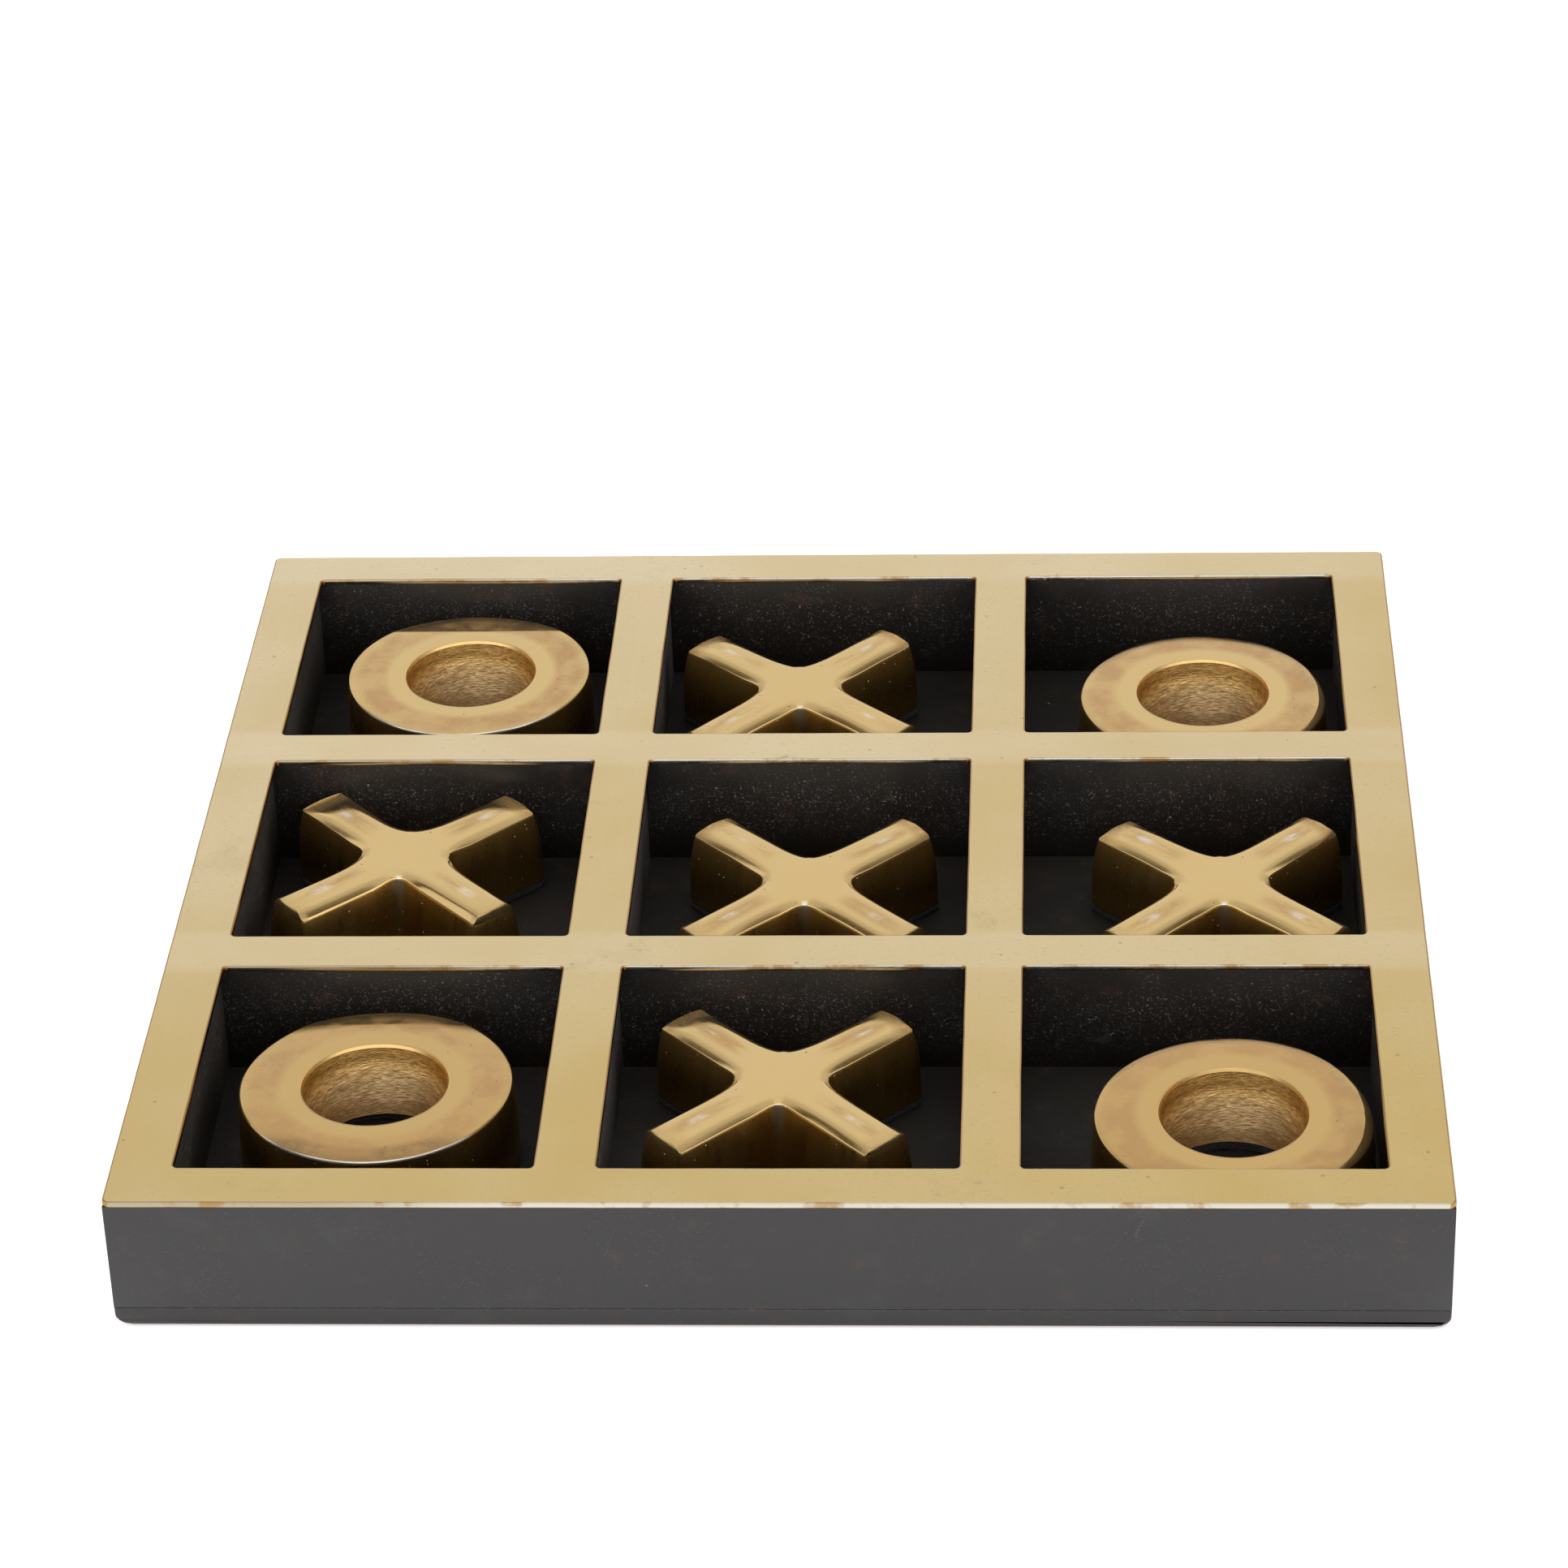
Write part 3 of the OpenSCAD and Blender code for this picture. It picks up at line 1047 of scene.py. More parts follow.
@dataclass(frozen=True)
class TurnedBore:
    """The bore of a ring, with the marks that its turning left, painted highlights and shade on those
    marks, and painted shade that makes it greyer and darker towards the bottom.

    Each stroke is the lean of one set of marks in degrees and their width in millimetres.
    """

    gold: Colour = (0.88, 0.55, 0.17)
    grey: Colour = (0.62, 0.43, 0.22)
    furrow_and_shade: Colour = (0.22, 0.13, 0.05)
    glint: Colour = (1.0, 0.82, 0.52)
    strokes: tuple[Pair, Pair] = ((5.0, 0.13), (-3.0, 0.08))

    def marks(self, finish: Finish) -> Socket:
        """Fine lines round the bore, in two sets that lean against each other.

        Args:
            finish: the material being built.

        Returns:
            Their height from 0 to 1.
        """
        wires = finish.wires
        lines = []
        for lean, width in self.strokes:
            turned = {0: finish.where, "Angle": math.radians(lean)}
            leaning = wires.add("ShaderNodeVectorRotate", turned, rotation_type="Y_AXIS").outputs[0]
            lines.append(wires.cloud(wires.stretch(leaning, (0.08, 0.08, 1.0)), width, 2.0, 0.6))
        return wires.times(wires.plus(*lines), 0.5)

    def make(self) -> bpy.types.Material:
        """Builds the material.

        Returns:
            The material.
        """
        finish = Finish("turned_bore")
        wires = finish.wires
        _, _, z = finish.split(finish.where)
        marks = self.marks(finish)
        broad = finish.cloud((0.2, 0.2, 1.0), 1.6, 4.0, 0.6)
        # Painted light on the turning marks: their dark lines are painted shade and their light lines
        # painted highlights.
        metal = wires.layered(
            self.gold,
            # Painted shade: greyer lower down the bore.
            (wires.past(z, 12.0, 5.0), self.grey),
            (wires.span(broad, 0.45, 0.7, 0.0, 0.55), self.furrow_and_shade),
            (wires.span(marks, 0.56, 0.42, 0.0, 0.8), self.furrow_and_shade),
            (wires.span(marks, 0.56, 0.64, 0.0, 0.6), self.glint),
            # Painted shade: darker near the bottom of the bore.
            (wires.past(z, 3.5, 1.0, 0.0, 0.5), self.furrow_and_shade),
        )
        finish.set(Base_Color=metal, Metallic=1.0, Roughness=wires.span(marks, 0.42, 0.58, 0.45, 0.28))
        lift = wires.add("ShaderNodeCombineXYZ", {2: wires.past(z, 11.2, 8.0, 0.16, 0.6)}).outputs[0]
        flanks = {0: finish.bump(marks, 0.10), 1: lift}
        tilted = wires.add("ShaderNodeVectorMath", flanks, operation="ADD").outputs[0]
        normal = wires.add("ShaderNodeVectorMath", {0: tilted}, operation="NORMALIZE").outputs[0]
        finish.set(Normal=normal)
        return finish.material


@dataclass(frozen=True)
class BlackPaint:
    """Wood painted satin black, with dust, scuffs and a scratchy seam above the bottom board, painted
    shade on the faces inside the tray and on those that look up, and painted light on walls inside that
    face sideways.
    """

    paint: Colour = (0.0315, 0.0290, 0.0297)
    scuffed_and_lit: Colour = (0.052, 0.050, 0.050)
    dust: Colour = (0.34, 0.33, 0.33)
    floor: Colour = (0.012, 0.0095, 0.007)
    rubbed: Colour = (0.07, 0.060, 0.052)
    rust: Colour = (0.16, 0.065, 0.03)
    scratch: Colour = (0.16, 0.15, 0.15)
    grain: Grain = Grain.ACROSS
    seam_z: float = 3.4

    def inner(self, finish: Finish) -> Socket:
        """The faces inside the tray.

        Args:
            finish: the material being built.

        Returns:
            A mask: 0 on the outside of the tray.
        """
        wires = finish.wires
        x, y, _ = finish.split(finish.where)
        return wires.past(wires.larger(wires.size(x), wires.size(y)), 99.4, 98.8)

    def seam(self, finish: Finish, inner: Socket) -> Socket:
        """The groove round the outside where the walls stand on the bottom board.

        Args:
            finish: the material being built.
            inner: the faces inside the tray.

        Returns:
            A mask.
        """
        wires = finish.wires
        _, _, z = finish.split(finish.where)
        off = wires.size(wires.less(z, self.seam_z * MM))
        return wires.times(wires.past(off, 0.22, 0.05), wires.span(inner, 1.0, 0.0))

    def specks(self, finish: Finish, effects: Effects, inner: Socket, drift: Socket) -> Socket:
        """Dust, lint and fine hairs, mostly on the walls inside the tray.

        Args:
            finish: the material being built.
            effects: the shared effects.
            inner: the faces inside the tray.
            drift: cloudy noise that gathers the dust.

        Returns:
            A mask.
        """
        wires = finish.wires
        _, _, z = finish.split(finish.where)
        _, _, up = finish.split(finish.facing)
        dusty = wires.span(finish.cloud((0.6, 0.6, 1.0), 0.34, 2.0, 0.6), 0.58, 0.76)
        dusty = wires.times(dusty, wires.span(drift, 0.35, 0.7, 0.05, 0.5))
        dusty = wires.times(dusty, wires.plus(wires.times(inner, 0.8), 0.2))
        dusty = wires.times(dusty, wires.less(1.0, wires.times(wires.span(up, 0.5, 0.9), 0.85)))
        hairs = finish.effect(effects.hairlines, 0.9, Width=0.018, Share=0.46)
        half_way = wires.times(wires.past(z, 5.0, 10.0), wires.past(z, 20.5, 15.0))
        hairs = wires.times(hairs, half_way, wires.times(inner, 0.75))
        small = finish.effect(effects.specks, 1.2, Radius=0.075, Share=0.24)
        large = finish.effect(effects.specks, 4, Radius=0.06, Share=0.3)
        return wires.larger(dusty, hairs, wires.times(small, inner, 0.8), wires.times(large, 0.6))

    def colour(self, finish: Finish, effects: Effects, inner: Socket, seam: Socket) -> Socket:
        """The paint without its dust: scuffs, rust and scratches, painted shade inside the tray and on
        faces that look up, and painted light on walls inside that face sideways.

        Args:
            finish: the material being built.
            effects: the shared effects.
            inner: the faces inside the tray.
            seam: the groove round the outside.

        Returns:
            The colour.
        """
        wires = finish.wires
        x, _, z = finish.split(finish.where)
        sideways, _, up = finish.split(finish.facing)
        scuffs = finish.effect(effects.patches, 13, Low=0.55, High=0.75)
        rust = finish.effect(effects.patches, 5, Low=0.56, High=0.72)
        hair = finish.effect(effects.hairlines, 14, Width=0.004, Share=0.36)
        broken = finish.cloud((1.0, 1.0, 3.0), 1.1, 4.0, 0.7)
        streaky = finish.cloud((1.0, 3.0, 0.4), 2.5, 3.0, 0.6)
        # Painted light: walls inside the tray that face sideways are lightened with the rubbed colour.
        beside = wires.times(inner, wires.span(wires.size(sideways), 0.5, 0.9))
        foot = wires.times(wires.past(z, 0.62, 0.45), wires.span(broken, 0.3, 0.5, 0.3, 0.9))
        # Painted light: walls inside that face +x, away from the left column, are lightened in streaks
        # with the scuffed colour.
        lit = wires.times(inner, wires.span(sideways, 0.6, 0.8), wires.past(x, -50.0, -40.0))
        worn = wires.times(seam, wires.span(broken, 0.5, 0.66), 0.35)
        return wires.layered(
            self.paint,
            (wires.times(scuffs, 0.45), self.scuffed_and_lit),
            # Painted shade: faces inside the tray and faces that look up are darkened towards the floor
            # colour.
            (wires.times(inner, 0.82), self.floor),
            (wires.times(beside, 0.25), self.rubbed),
            (wires.times(wires.span(up, 0.5, 0.9), 0.9), self.floor),
            (wires.larger(wires.times(rust, 0.12), foot), self.rust),
            (wires.times(lit, wires.span(streaky, 0.35, 0.6, 0.25, 1.0)), self.scuffed_and_lit),
            (wires.larger(worn, wires.times(hair, 0.2)), self.scratch),
        )

    def make(self, effects: Effects) -> bpy.types.Material:
        """Builds the material for slats whose grain runs across or along.

        Args:
            effects: the shared effects.

        Returns:
            The material.
        """
        finish = Finish(f"black_paint_{self.grain.name.lower()}")
        wires = finish.wires
        _, _, up = finish.split(finish.facing)
        inner = self.inner(finish)
        seam = self.seam(finish, inner)
        drift = wires.cloud(finish.where, 12, 3.0)
        specks = self.specks(finish, effects, inner, drift)
        shade = wires.mix(specks, self.colour(finish, effects, inner, seam), self.dust)
        matt = wires.plus(wires.times(specks, 0.3), wires.times(wires.span(up, 0.5, 0.9), 0.35))
        rough = wires.plus(wires.span(drift, 0.3, 0.7, 0.30, 0.42), matt)
        finish.set(Base_Color=shade, Roughness=rough, Specular_IOR_Level=0.42)
        run = (0.06, 1.0, 1.0) if self.grain is Grain.ACROSS else (1.0, 0.06, 1.0)
        fibres = finish.bump(finish.cloud(run, 0.9, 4.0, 0.6), 0.012)
        finish.set(Normal=finish.bump(wires.less(1.0, seam), 0.03, fibres))
        return finish.material


@dataclass(frozen=True)
class Felt:
    """Pressed felt, fuzzy and matte."""

    name: str
    deep: Colour
    light: Colour

    def make(self, effects: Effects) -> bpy.types.Material:
        """Builds the material.

        Args:
            effects: the shared effects.

        Returns:
            The material.
        """
        finish = Finish(self.name)
        wires = finish.wires
        hairs = wires.cloud(finish.where, 0.35, 5.0, 0.75)
        lint = finish.effect(effects.hairlines, 1.6, Width=0.03, Share=0.5)
        shade = wires.layered(
            self.deep,
            (wires.span(hairs, 0.3, 0.75), self.light),
            (wires.times(lint, 0.35), self.light),
        )
        finish.set(Base_Color=shade, Roughness=0.95, Sheen_Weight=0.25, Specular_IOR_Level=0.15)
        finish.set(Normal=finish.bump(hairs, 0.25))
        return finish.material


@dataclass
class Palette:
    """Every material of the board, built once."""

    effects: Effects
    sheet: bpy.types.Material = field(init=False)
    cross_top: bpy.types.Material = field(init=False)
    ring_top: bpy.types.Material = field(init=False)
    side: bpy.types.Material = field(init=False)
    bore: bpy.types.Material = field(init=False)
    paint: dict[Grain, bpy.types.Material] = field(init=False)
    black_felt: bpy.types.Material = field(init=False)
    rose_felt: bpy.types.Material = field(init=False)

    def __post_init__(self) -> None:
        """Builds the materials."""
        self.sheet = SheetBrass().make(self.effects)
        self.cross_top = CrossTop().make(self.effects)
        self.ring_top = RingTop().make(self.effects)
        self.side = CastSide().make(self.effects)
        self.bore = TurnedBore().make()
        self.paint = {grain: BlackPaint(grain=grain).make(self.effects) for grain in Grain}
        black = Felt("black_felt", deep=(0.006, 0.006, 0.008), light=(0.045, 0.045, 0.052))
        self.black_felt = black.make(self.effects)
        rose = Felt("rose_felt", deep=(0.22, 0.03, 0.07), light=(0.5, 0.12, 0.22))
        self.rose_felt = rose.make(self.effects)


def fuzz(skin: Skin, outline: Sequence[Vector], count: int, low: float, high: float, draw: random.Random,
         length: Pair = (0.3, 1.1)) -> None:
    """Grows loose fibres out of the cut edge of a felt.

    Args:
        skin: the felt's mesh.
        outline: its edge, anticlockwise.
        count: how many fibres.
        low: lowest height of a root.
        high: highest height of a root.
        draw: the source of its random numbers.
        length: shortest and longest fibre.
    """
    for _ in range(count):
        i = draw.randrange(len(outline))
        a, b = outline[i], outline[(i + 1) % len(outline)]
        along = (b - a).normalized()
        out = Vector((along.y, -along.x, 0.0))
        root = a.lerp(b, draw.random()) - out * 0.15
        root.z = draw.uniform(low, high)
        way = out + along * draw.uniform(-0.9, 0.9) + Vector((0, 0, draw.uniform(0.0, 0.5)))
        way.normalize()
        reach = draw.uniform(*length)
        width = draw.uniform(0.03, 0.07)
        skin.spike(root, way, reach, width, draw.uniform(0.0, root.z + way.z * reach - 0.03))


@dataclass
class Playing:
    """What a cross and a ring have in common: their height, their sides and how they are put down."""

    number: int
    palette: Palette
    shift: Pair = (0.0, 0.0)
    height: float = 13.3
    crown_drop: float = 1.1
    felt_thickness: float = 1.6
    side_steps: int = 10
    dome_steps: int = 16

    @property
    def edge_height(self) -> float:
        """Height of the sharp edge round the top."""
        return self.height - self.crown_drop

    def lean(self, flare: float, down: float) -> float:
        """How far a side has leaned out at a share of the way down to the foot."""
        return flare * (1 - (1 - down) ** 3)

    def side_levels(self, flare: float) -> list[tuple[float, float]]:
        """Growth and height of the levels of a side, from the foot to just under the top edge."""
        downs = [max((1 - i / self.side_steps) ** 1.5, 0.02) for i in range(self.side_steps + 1)]
        return [(self.lean(flare, down), self.edge_height * (1 - down)) for down in downs]

    def put_down(self, body: Body, letter: str, pieces: Sequence[bpy.types.Object], turn: float) -> None:
        """Puts the brass and its pad, both made round the origin, in their compartment.

        Args:
            body: the kind of body that they ride on.
            letter: x or o, the start of the CAD nodes' names.
            pieces: the brass and the pad.
            turn: how far they are turned about Z, in degrees.
        """
        low, high = node_box(f"{letter}_piece_{self.number}")
        centre = (low + high) / 2 + Vector((*self.shift, 0.0))
        for piece, kind, slot in zip(pieces, ("piece", "felt"), (Slot.CAST_BRASS, Slot.BLACK_FELT)):
            node = f"{letter}_{kind}_{self.number}"
            piece.data.transform(Matrix.Rotation(math.radians(turn), 4, "Z"))
            piece.location = Vector((centre.x, centre.y, node_box(node)[0].z)) * MM
            settle(piece, f"{body.value}_{self.number}", slot, node)


@dataclass
class Cross(Playing):
    """A cast brass cross on its felt pad.

    The crotches are listed far, left, near and right; each number is how far the two arms' sides
    run into each other there. The falls say how far the crest sinks towards the tip of the arm that
    points back right, back left, front left and front right.
    """

    turn: float = 0.0
    tilt: Pair = (0.0, 0.0)
    crotches: tuple[float, float, float, float] = (1.18, 1.18, 1.0, 1.18)
    arm_reach: float = 24.0
    arm_width: float = 8.1
    tip_radius: float = 0.45
    flare: float = 1.2
    crest_width: float = 1.2
    felt_inset: float = 0.3
    hub_rise: float = 0.45
    hub_radius: float = 11.0
    hub_slope: float = 5.0
    border: float = 1.15
    crotch_reach: float = 14.0
    crotch_growth: float = 0.293
    end_bulge: float = 0.4
    falls: tuple[float, float, float, float] = (0.3, 0.5, 0.3, 0.3)
    fall_from: float = 13.0
    fall_length: float = 11.0
    fibres: int = 420

    def outline(self, out: float) -> list[Vector]:
        """The outline, grown outwards by this much from the top edge.

        Args:
            out: how far it is grown.

        Returns:
            Its points, anticlockwise, 40 for each arm and the crotch after it.
        """
        half, reach = self.arm_width / 2 + out, self.arm_reach + (out if out > 0 else out * 0.15)
        tip = max(self.tip_radius + out, 0.03)
        first = arc(reach - tip, -half + tip, tip, -90, 0, 3)
        last = arc(reach - tip, half - tip, tip, 0, 90, 3)
        end = between(first[-1], last[0], 6)
        for point in end:
            point.x += self.end_bulge * (1 - (point.y / half) ** 2)
        points = []
        for arm, crotch in enumerate(self.crotches):
            bend = self.crotch(half, crotch - self.crotch_growth * out)
            way = between(last[-1], bend[0], 6)
            back = between(bend[-1], Vector((half, reach - tip, 0)), 6)
            one = first + end + last + way + bend + back
            points += [Matrix.Rotation(math.radians(90 * arm), 3, "Z") @ p for p in one]
        return points

    def crotch(self, half: float, deep: float) -> list[Vector]:
        """The bend between two arms: their sides close in on each other like a hyperbola.

        Args:
            half: half the width of an arm.
            deep: how far the bend stands off the corner that straight sides would make.

        Returns:
            Its points from the first arm to the second.
        """
        end = self.crotch_reach - half
        spread = math.log(end / deep)
        points = []
        for i in range(-8, 9):
            u = -spread * i / 8
            along, aside = deep * math.exp(u), deep * math.exp(-u)
            fade = deep * deep / end
            x = half + along - fade * (aside > along)
            y = half + aside - fade * (along > aside)
            points.append(Vector((x, y, 0)))
        return points

    def edge_at(self, point: Vector) -> float:
        """Height of the sharp edge at a point of the plan, tilted and raised towards the hub.

        Args:
            point: the point, from the middle of the cross.

        Returns:
            The height above the foot.
        """
        turned = Matrix.Rotation(math.radians(45 + self.turn), 3, "Z") @ Vector((point.x, point.y, 0.0))
        near = min(max((self.hub_radius - turned.length) / self.hub_slope, 0.0), 1.0)
        rise = self.hub_rise * near * near * (3 - 2 * near)
        return self.edge_height + rise + turned.x * self.tilt[0] + turned.y * self.tilt[1]

    def eased(self, inwards: float) -> float:
        """How high the top stands this far in from its edge: a slanting border, then nearly flat."""
        step = inwards / 24
        return sum(step / (1 + ((i + 0.5) * step / self.border) ** 4) for i in range(24))

    def body(self) -> Skin:
        """The brass: flared sides, a rounded edge and the domed top.

        Returns:
            Its mesh; finish 0 is the top and 1 the side.
        """
        skin = Skin()
        levels = [(out, z, 1) for out, z in self.side_levels(self.flare)]
        levels += [(0.0, self.edge_height - 0.10, 1), (-0.03, self.edge_height - 0.03, 0)]
        levels.append((-0.1, self.edge_height + 0.08, 0))
        inward = (self.arm_width - self.crest_width) / 2
        for i in range(2, self.dome_steps + 1):
            share = (i / self.dome_steps) ** 1.5
            rise = self.crown_drop * self.eased(inward * share) / self.eased(inward)
            levels.append((-inward * share, self.edge_height + rise, 0))
        loops = []
        for out, z, _ in levels:
            loops.append(skin.loop([self.shaped(p + Vector((0, 0, z))) for p in self.outline(out)]))
        for low, high, level in zip(loops, loops[1:], levels[1:]):
            skin.band(low, high, level[2])
        self.crest(skin, loops[-1])
        skin.face(loops[0][::-1], 1)
        return skin

    @staticmethod
    def crest(skin: Skin, rim: list[int]) -> None:
        """Closes the flat crest: strips across each arm that meet round the middle of the hub.

        Args:
            skin: the cross's mesh.
            rim: corners of the crest's outline, 40 for each arm and the crotch after it.
        """
        bends = []
        for arm in range(4):
            ahead = [rim[40 * arm + i] for i in range(12, 27)]
            behind = [rim[(40 * arm - i) % 160] for i in range(0, 15)]
            behind[0] = rim[40 * arm]
            skin.face([rim[40 * arm + i] for i in range(13)])
            for a, b, c, d in zip(ahead, ahead[1:], behind[1:], behind):
                skin.face((a, b, c, d))
            bends.append(ahead[-1])
        middle = sum((skin.corners[i] for i in bends), Vector()) / 4
        centre = skin.loop([middle])[0]
        for a, b in zip(bends[-1:] + bends[:-1], bends):
            skin.face((a, b, centre))

    def shaped(self, point: Vector) -> Vector:
        """A point with the unevenness that casting and polishing by hand left.

        Args:
            point: the point on an even cross.

        Returns:
            Where it lies on this one.
        """
        flat = Vector((point.x, point.y, 0.0))
        moved = point + wobble(flat, 0.18, 16, self.number + 0.5)
        edge = self.edge_at(flat)
        if point.z <= self.edge_height:
            moved.z = point.z * edge / self.edge_height
        else:
            share = (point.z - self.edge_height) / self.crown_drop
            arm = int(abs(flat.y) > abs(flat.x)) + (2 if flat.x + flat.y < 0 else 0)
            outwards = min(max((flat.length - self.fall_from) / self.fall_length, 0.0), 1.0)
            fall = self.falls[arm] * outwards**3
            crest = self.height + wobble(flat, 0.1, 9, self.number + 20.0).z - fall
            moved.z = edge + (crest - edge) * share
        return moved

    def pad(self) -> Skin:
        """The felt pad, its cut edge uneven and fuzzy.

        Returns:
            Its mesh.
        """
        skin = Skin()
        draw = random.Random(100 + self.number)
        edge = self.outline(self.flare - self.felt_inset)
        heights = (0.0, 0.3, 0.9, 1.35, self.felt_thickness)
        bulge = (-0.05, 0.12, 0.2, 0.12, 0.0)
        loops = []
        for z, more in zip(heights, bulge):
            out = [p - q for p, q in zip(edge, pulled_in(edge, more))]
            lift = Vector((0, 0, z * 3))
            ring = [p + o + wobble(p + lift, 0.22, 2.6, self.number) for p, o in zip(edge, out)]
            loops.append(skin.loop([Vector((p.x, p.y, z)) for p in ring]))
        skin.stack(loops)
        fuzz(skin, edge, self.fibres, 0.08, self.felt_thickness - 0.1, draw)
        return skin

    def build(self) -> None:
        """Makes the cross and its pad and puts them in their compartment."""
        finishes = [self.palette.cross_top, self.palette.side]
        brass = self.body().piece(f"cast_cross_{self.number}", finishes, 60.0, self.number)
        felt = self.pad().piece(f"cross_pad_{self.number}", [self.palette.black_felt])
        self.put_down(Body.CROSS, "x", (brass, felt), 45 + self.turn)


@dataclass
class Ring(Playing):
    """A cast brass ring on its felt pad, its top ground lower on one side than on the other.

    The facet is a flat ground on the far side, the chamfer a slant on one side of the rim.
    """

    rim_drop: float = 0.6
    round_off: float = 2.0
    swing: float = 0.0
    high_side: float = 90.0
    slope: float = 0.0
    facet_from: float = 30.0
    facet_slope: float = 0.09
    chamfer: float = 0.0
    chamfer_side: float = -20.0
    off_centre: Pair = (0.0, 0.0)
    squash: float = 0.0
    outer_radius: float = 21.1
    bore_radius: float = 11.2
    crown_radius: float = 13.5
    flare: float = 0.6
    bore_bevel: float = 0.32
    bevel_foot: float = 0.65
    felt_inset: float = 0.3
    turns: int = 180
    outer_fibres: int = 260
    inner_fibres: int = 240

    def top(self, radius: float, angle: float) -> float:
        """Height of the top.

        Args:
            radius: distance from the axis.
            angle: direction from the axis in radians.

        Returns:
            The height above the foot.
        """
        drop = self.rim_drop - self.swing * math.cos(angle - math.radians(self.high_side))
        share = max(0.0, (radius - self.crown_radius) / (self.outer_radius - self.crown_radius))
        towards = max(0.0, math.cos((angle - math.radians(self.chamfer_side)) * 0.9))
        start = self.outer_radius - self.chamfer * towards**2
        cut = max(0.0, radius - start) * 1.1
        level = self.height + self.slope * radius * math.sin(angle)
        level -= self.facet_slope * max(0.0, radius * math.sin(angle) - self.facet_from)
        past = radius - self.outer_radius + 0.2
        steep = 0.35 + 0.45 * max(0.0, -math.sin(angle))
        worn = steep * min(max(past, 0.0), 0.19)
        return level - drop * share**self.round_off - cut - worn

    def profile(self) -> list[tuple[float, float | None, int]]:
        """The half section: up the outside, in over the top and down the bore.

        Returns:
            Radius, height and finish of each corner; a height of None lies on the top.
        """
        rows: list[tuple[float, float | None, int]] = [(self.bore_radius, 0.0, 2)]
        rows += [(self.outer_radius + out, z, 1) for out, z in self.side_levels(self.flare)]
        rows += [(self.outer_radius - out, None, 0) for out in (0.01, 0.022, 0.18)]
        inner = self.bore_radius + self.bore_bevel
        span = self.outer_radius - 0.2 - inner
        rows += [(self.outer_radius - 0.2 - span * (i / 30) ** 1.2, None, 0) for i in range(31)]
        bevel = [(0.3, 0.012), (0.22, 0.05), (0.205, 0.084), (0.02, 0.5), (0.01, 0.522), (0.0, 0.55)]
        bevel.append((0.0, self.bevel_foot))
        rows += [(self.bore_radius + out, self.height - down, 0) for out, down in bevel]
        straight = self.height - self.bevel_foot
        rows += [(self.bore_radius, straight * (1 - i / 6), 2) for i in range(1, 6)]
        return rows

    def body(self) -> Skin:
        """The brass, turned round its axis.

        Returns:
            Its mesh; finish 0 is the top, 1 the side and 2 the bore.
        """
        skin = Skin()
        rows = self.profile()
        loops = []
        for radius, z, _ in rows:
            ring = []
            for i in range(self.turns):
                a = 2 * math.pi * i / self.turns
                flat = Vector((radius * math.cos(a), radius * math.sin(a), 0.0))
                crest = z is None or z > self.edge_height
                rise = wobble(flat, 0.07, 8, self.number + 40.0).z if crest else 0.0
                outwards = (radius - self.bore_radius) / (self.outer_radius - self.bore_radius)
                aside = Vector(self.off_centre) + wobble(flat, 0.12, 15, self.number + 60.0).xy
                aside *= outwards
                height = self.top(radius, a) if z is None else self.under_rim(radius, a, z)
                flat.y *= 1 - self.squash * outwards
                ring.append(Vector((flat.x + aside.x, flat.y + aside.y, height + rise)))
            loops.append(skin.loop(ring))
        for here, after, row in zip(loops, loops[1:] + loops[:1], rows[1:] + rows[:1]):
            skin.band(here, after, row[2])
        return skin

    def under_rim(self, radius: float, angle: float, height: float) -> float:
        """Height of a corner of the side or of the bore, which end where the top is here.

        Args:
            radius: distance from the axis.
            angle: direction from the axis in radians.
            height: its height on a ring with a level top.

        Returns:
            The height above the foot.
        """
        if radius < self.outer_radius:
            return height * (1 + self.slope * radius * math.sin(angle) / self.height)
        rim = self.top(self.outer_radius, angle) - 0.04
        return height * rim / self.edge_height

    def pad(self) -> Skin:
        """The felt ring, its outer and inner edge uneven and fuzzy.

        Returns:
            Its mesh.
        """
        skin = Skin()
        draw = random.Random(200 + self.number)
        outer = self.outer_radius + self.flare - self.felt_inset
        inner = self.bore_radius + self.felt_inset
        thick = self.felt_thickness
        rows = ((inner + 0.1, 0.0), (outer, 0.0), (outer + 0.15, 0.4), (outer + 0.15, 1.1), (outer, thick),
                (inner, thick), (inner - 0.2, 1.2), (inner - 0.25, 0.5))
        loops = []
        for radius, z in rows:
            ring = []
            for p in arc(*self.off_centre, radius, 0, 360, self.turns)[:-1]:
                moved = p + wobble(p + Vector((0, 0, z * 3)), 0.25, 2.4, self.number + 9.0)
                moved.y *= 1 - self.squash * (radius > self.bore_radius + 5)
                ring.append(Vector((moved.x, moved.y, z)))
            loops.append(skin.loop(ring))
        for here, after in zip(loops, loops[1:] + loops[:1]):
            skin.band(here, after)
        around = arc(*self.off_centre, outer * (1 - self.squash), 0, 360, 90)[:-1]
        fuzz(skin, around, self.outer_fibres, 0.08, self.felt_thickness - 0.1, draw)
        within = arc(*self.off_centre, inner, 360, 0, 60)[:-1]
        fuzz(skin, within, self.inner_fibres, 0.08, self.felt_thickness - 0.1, draw, (0.4, 1.6))
        return skin

    def build(self) -> None:
        """Makes the ring and its pad and puts them in their compartment."""
        finishes = [self.palette.ring_top, self.palette.side, self.palette.bore]
        brass = self.body().piece(f"cast_ring_{self.number}", finishes, 50.0, self.number + 5)
        felt = self.pad().piece(f"ring_pad_{self.number}", [self.palette.black_felt])
        self.put_down(Body.RING, "o", (brass, felt), 0.0)


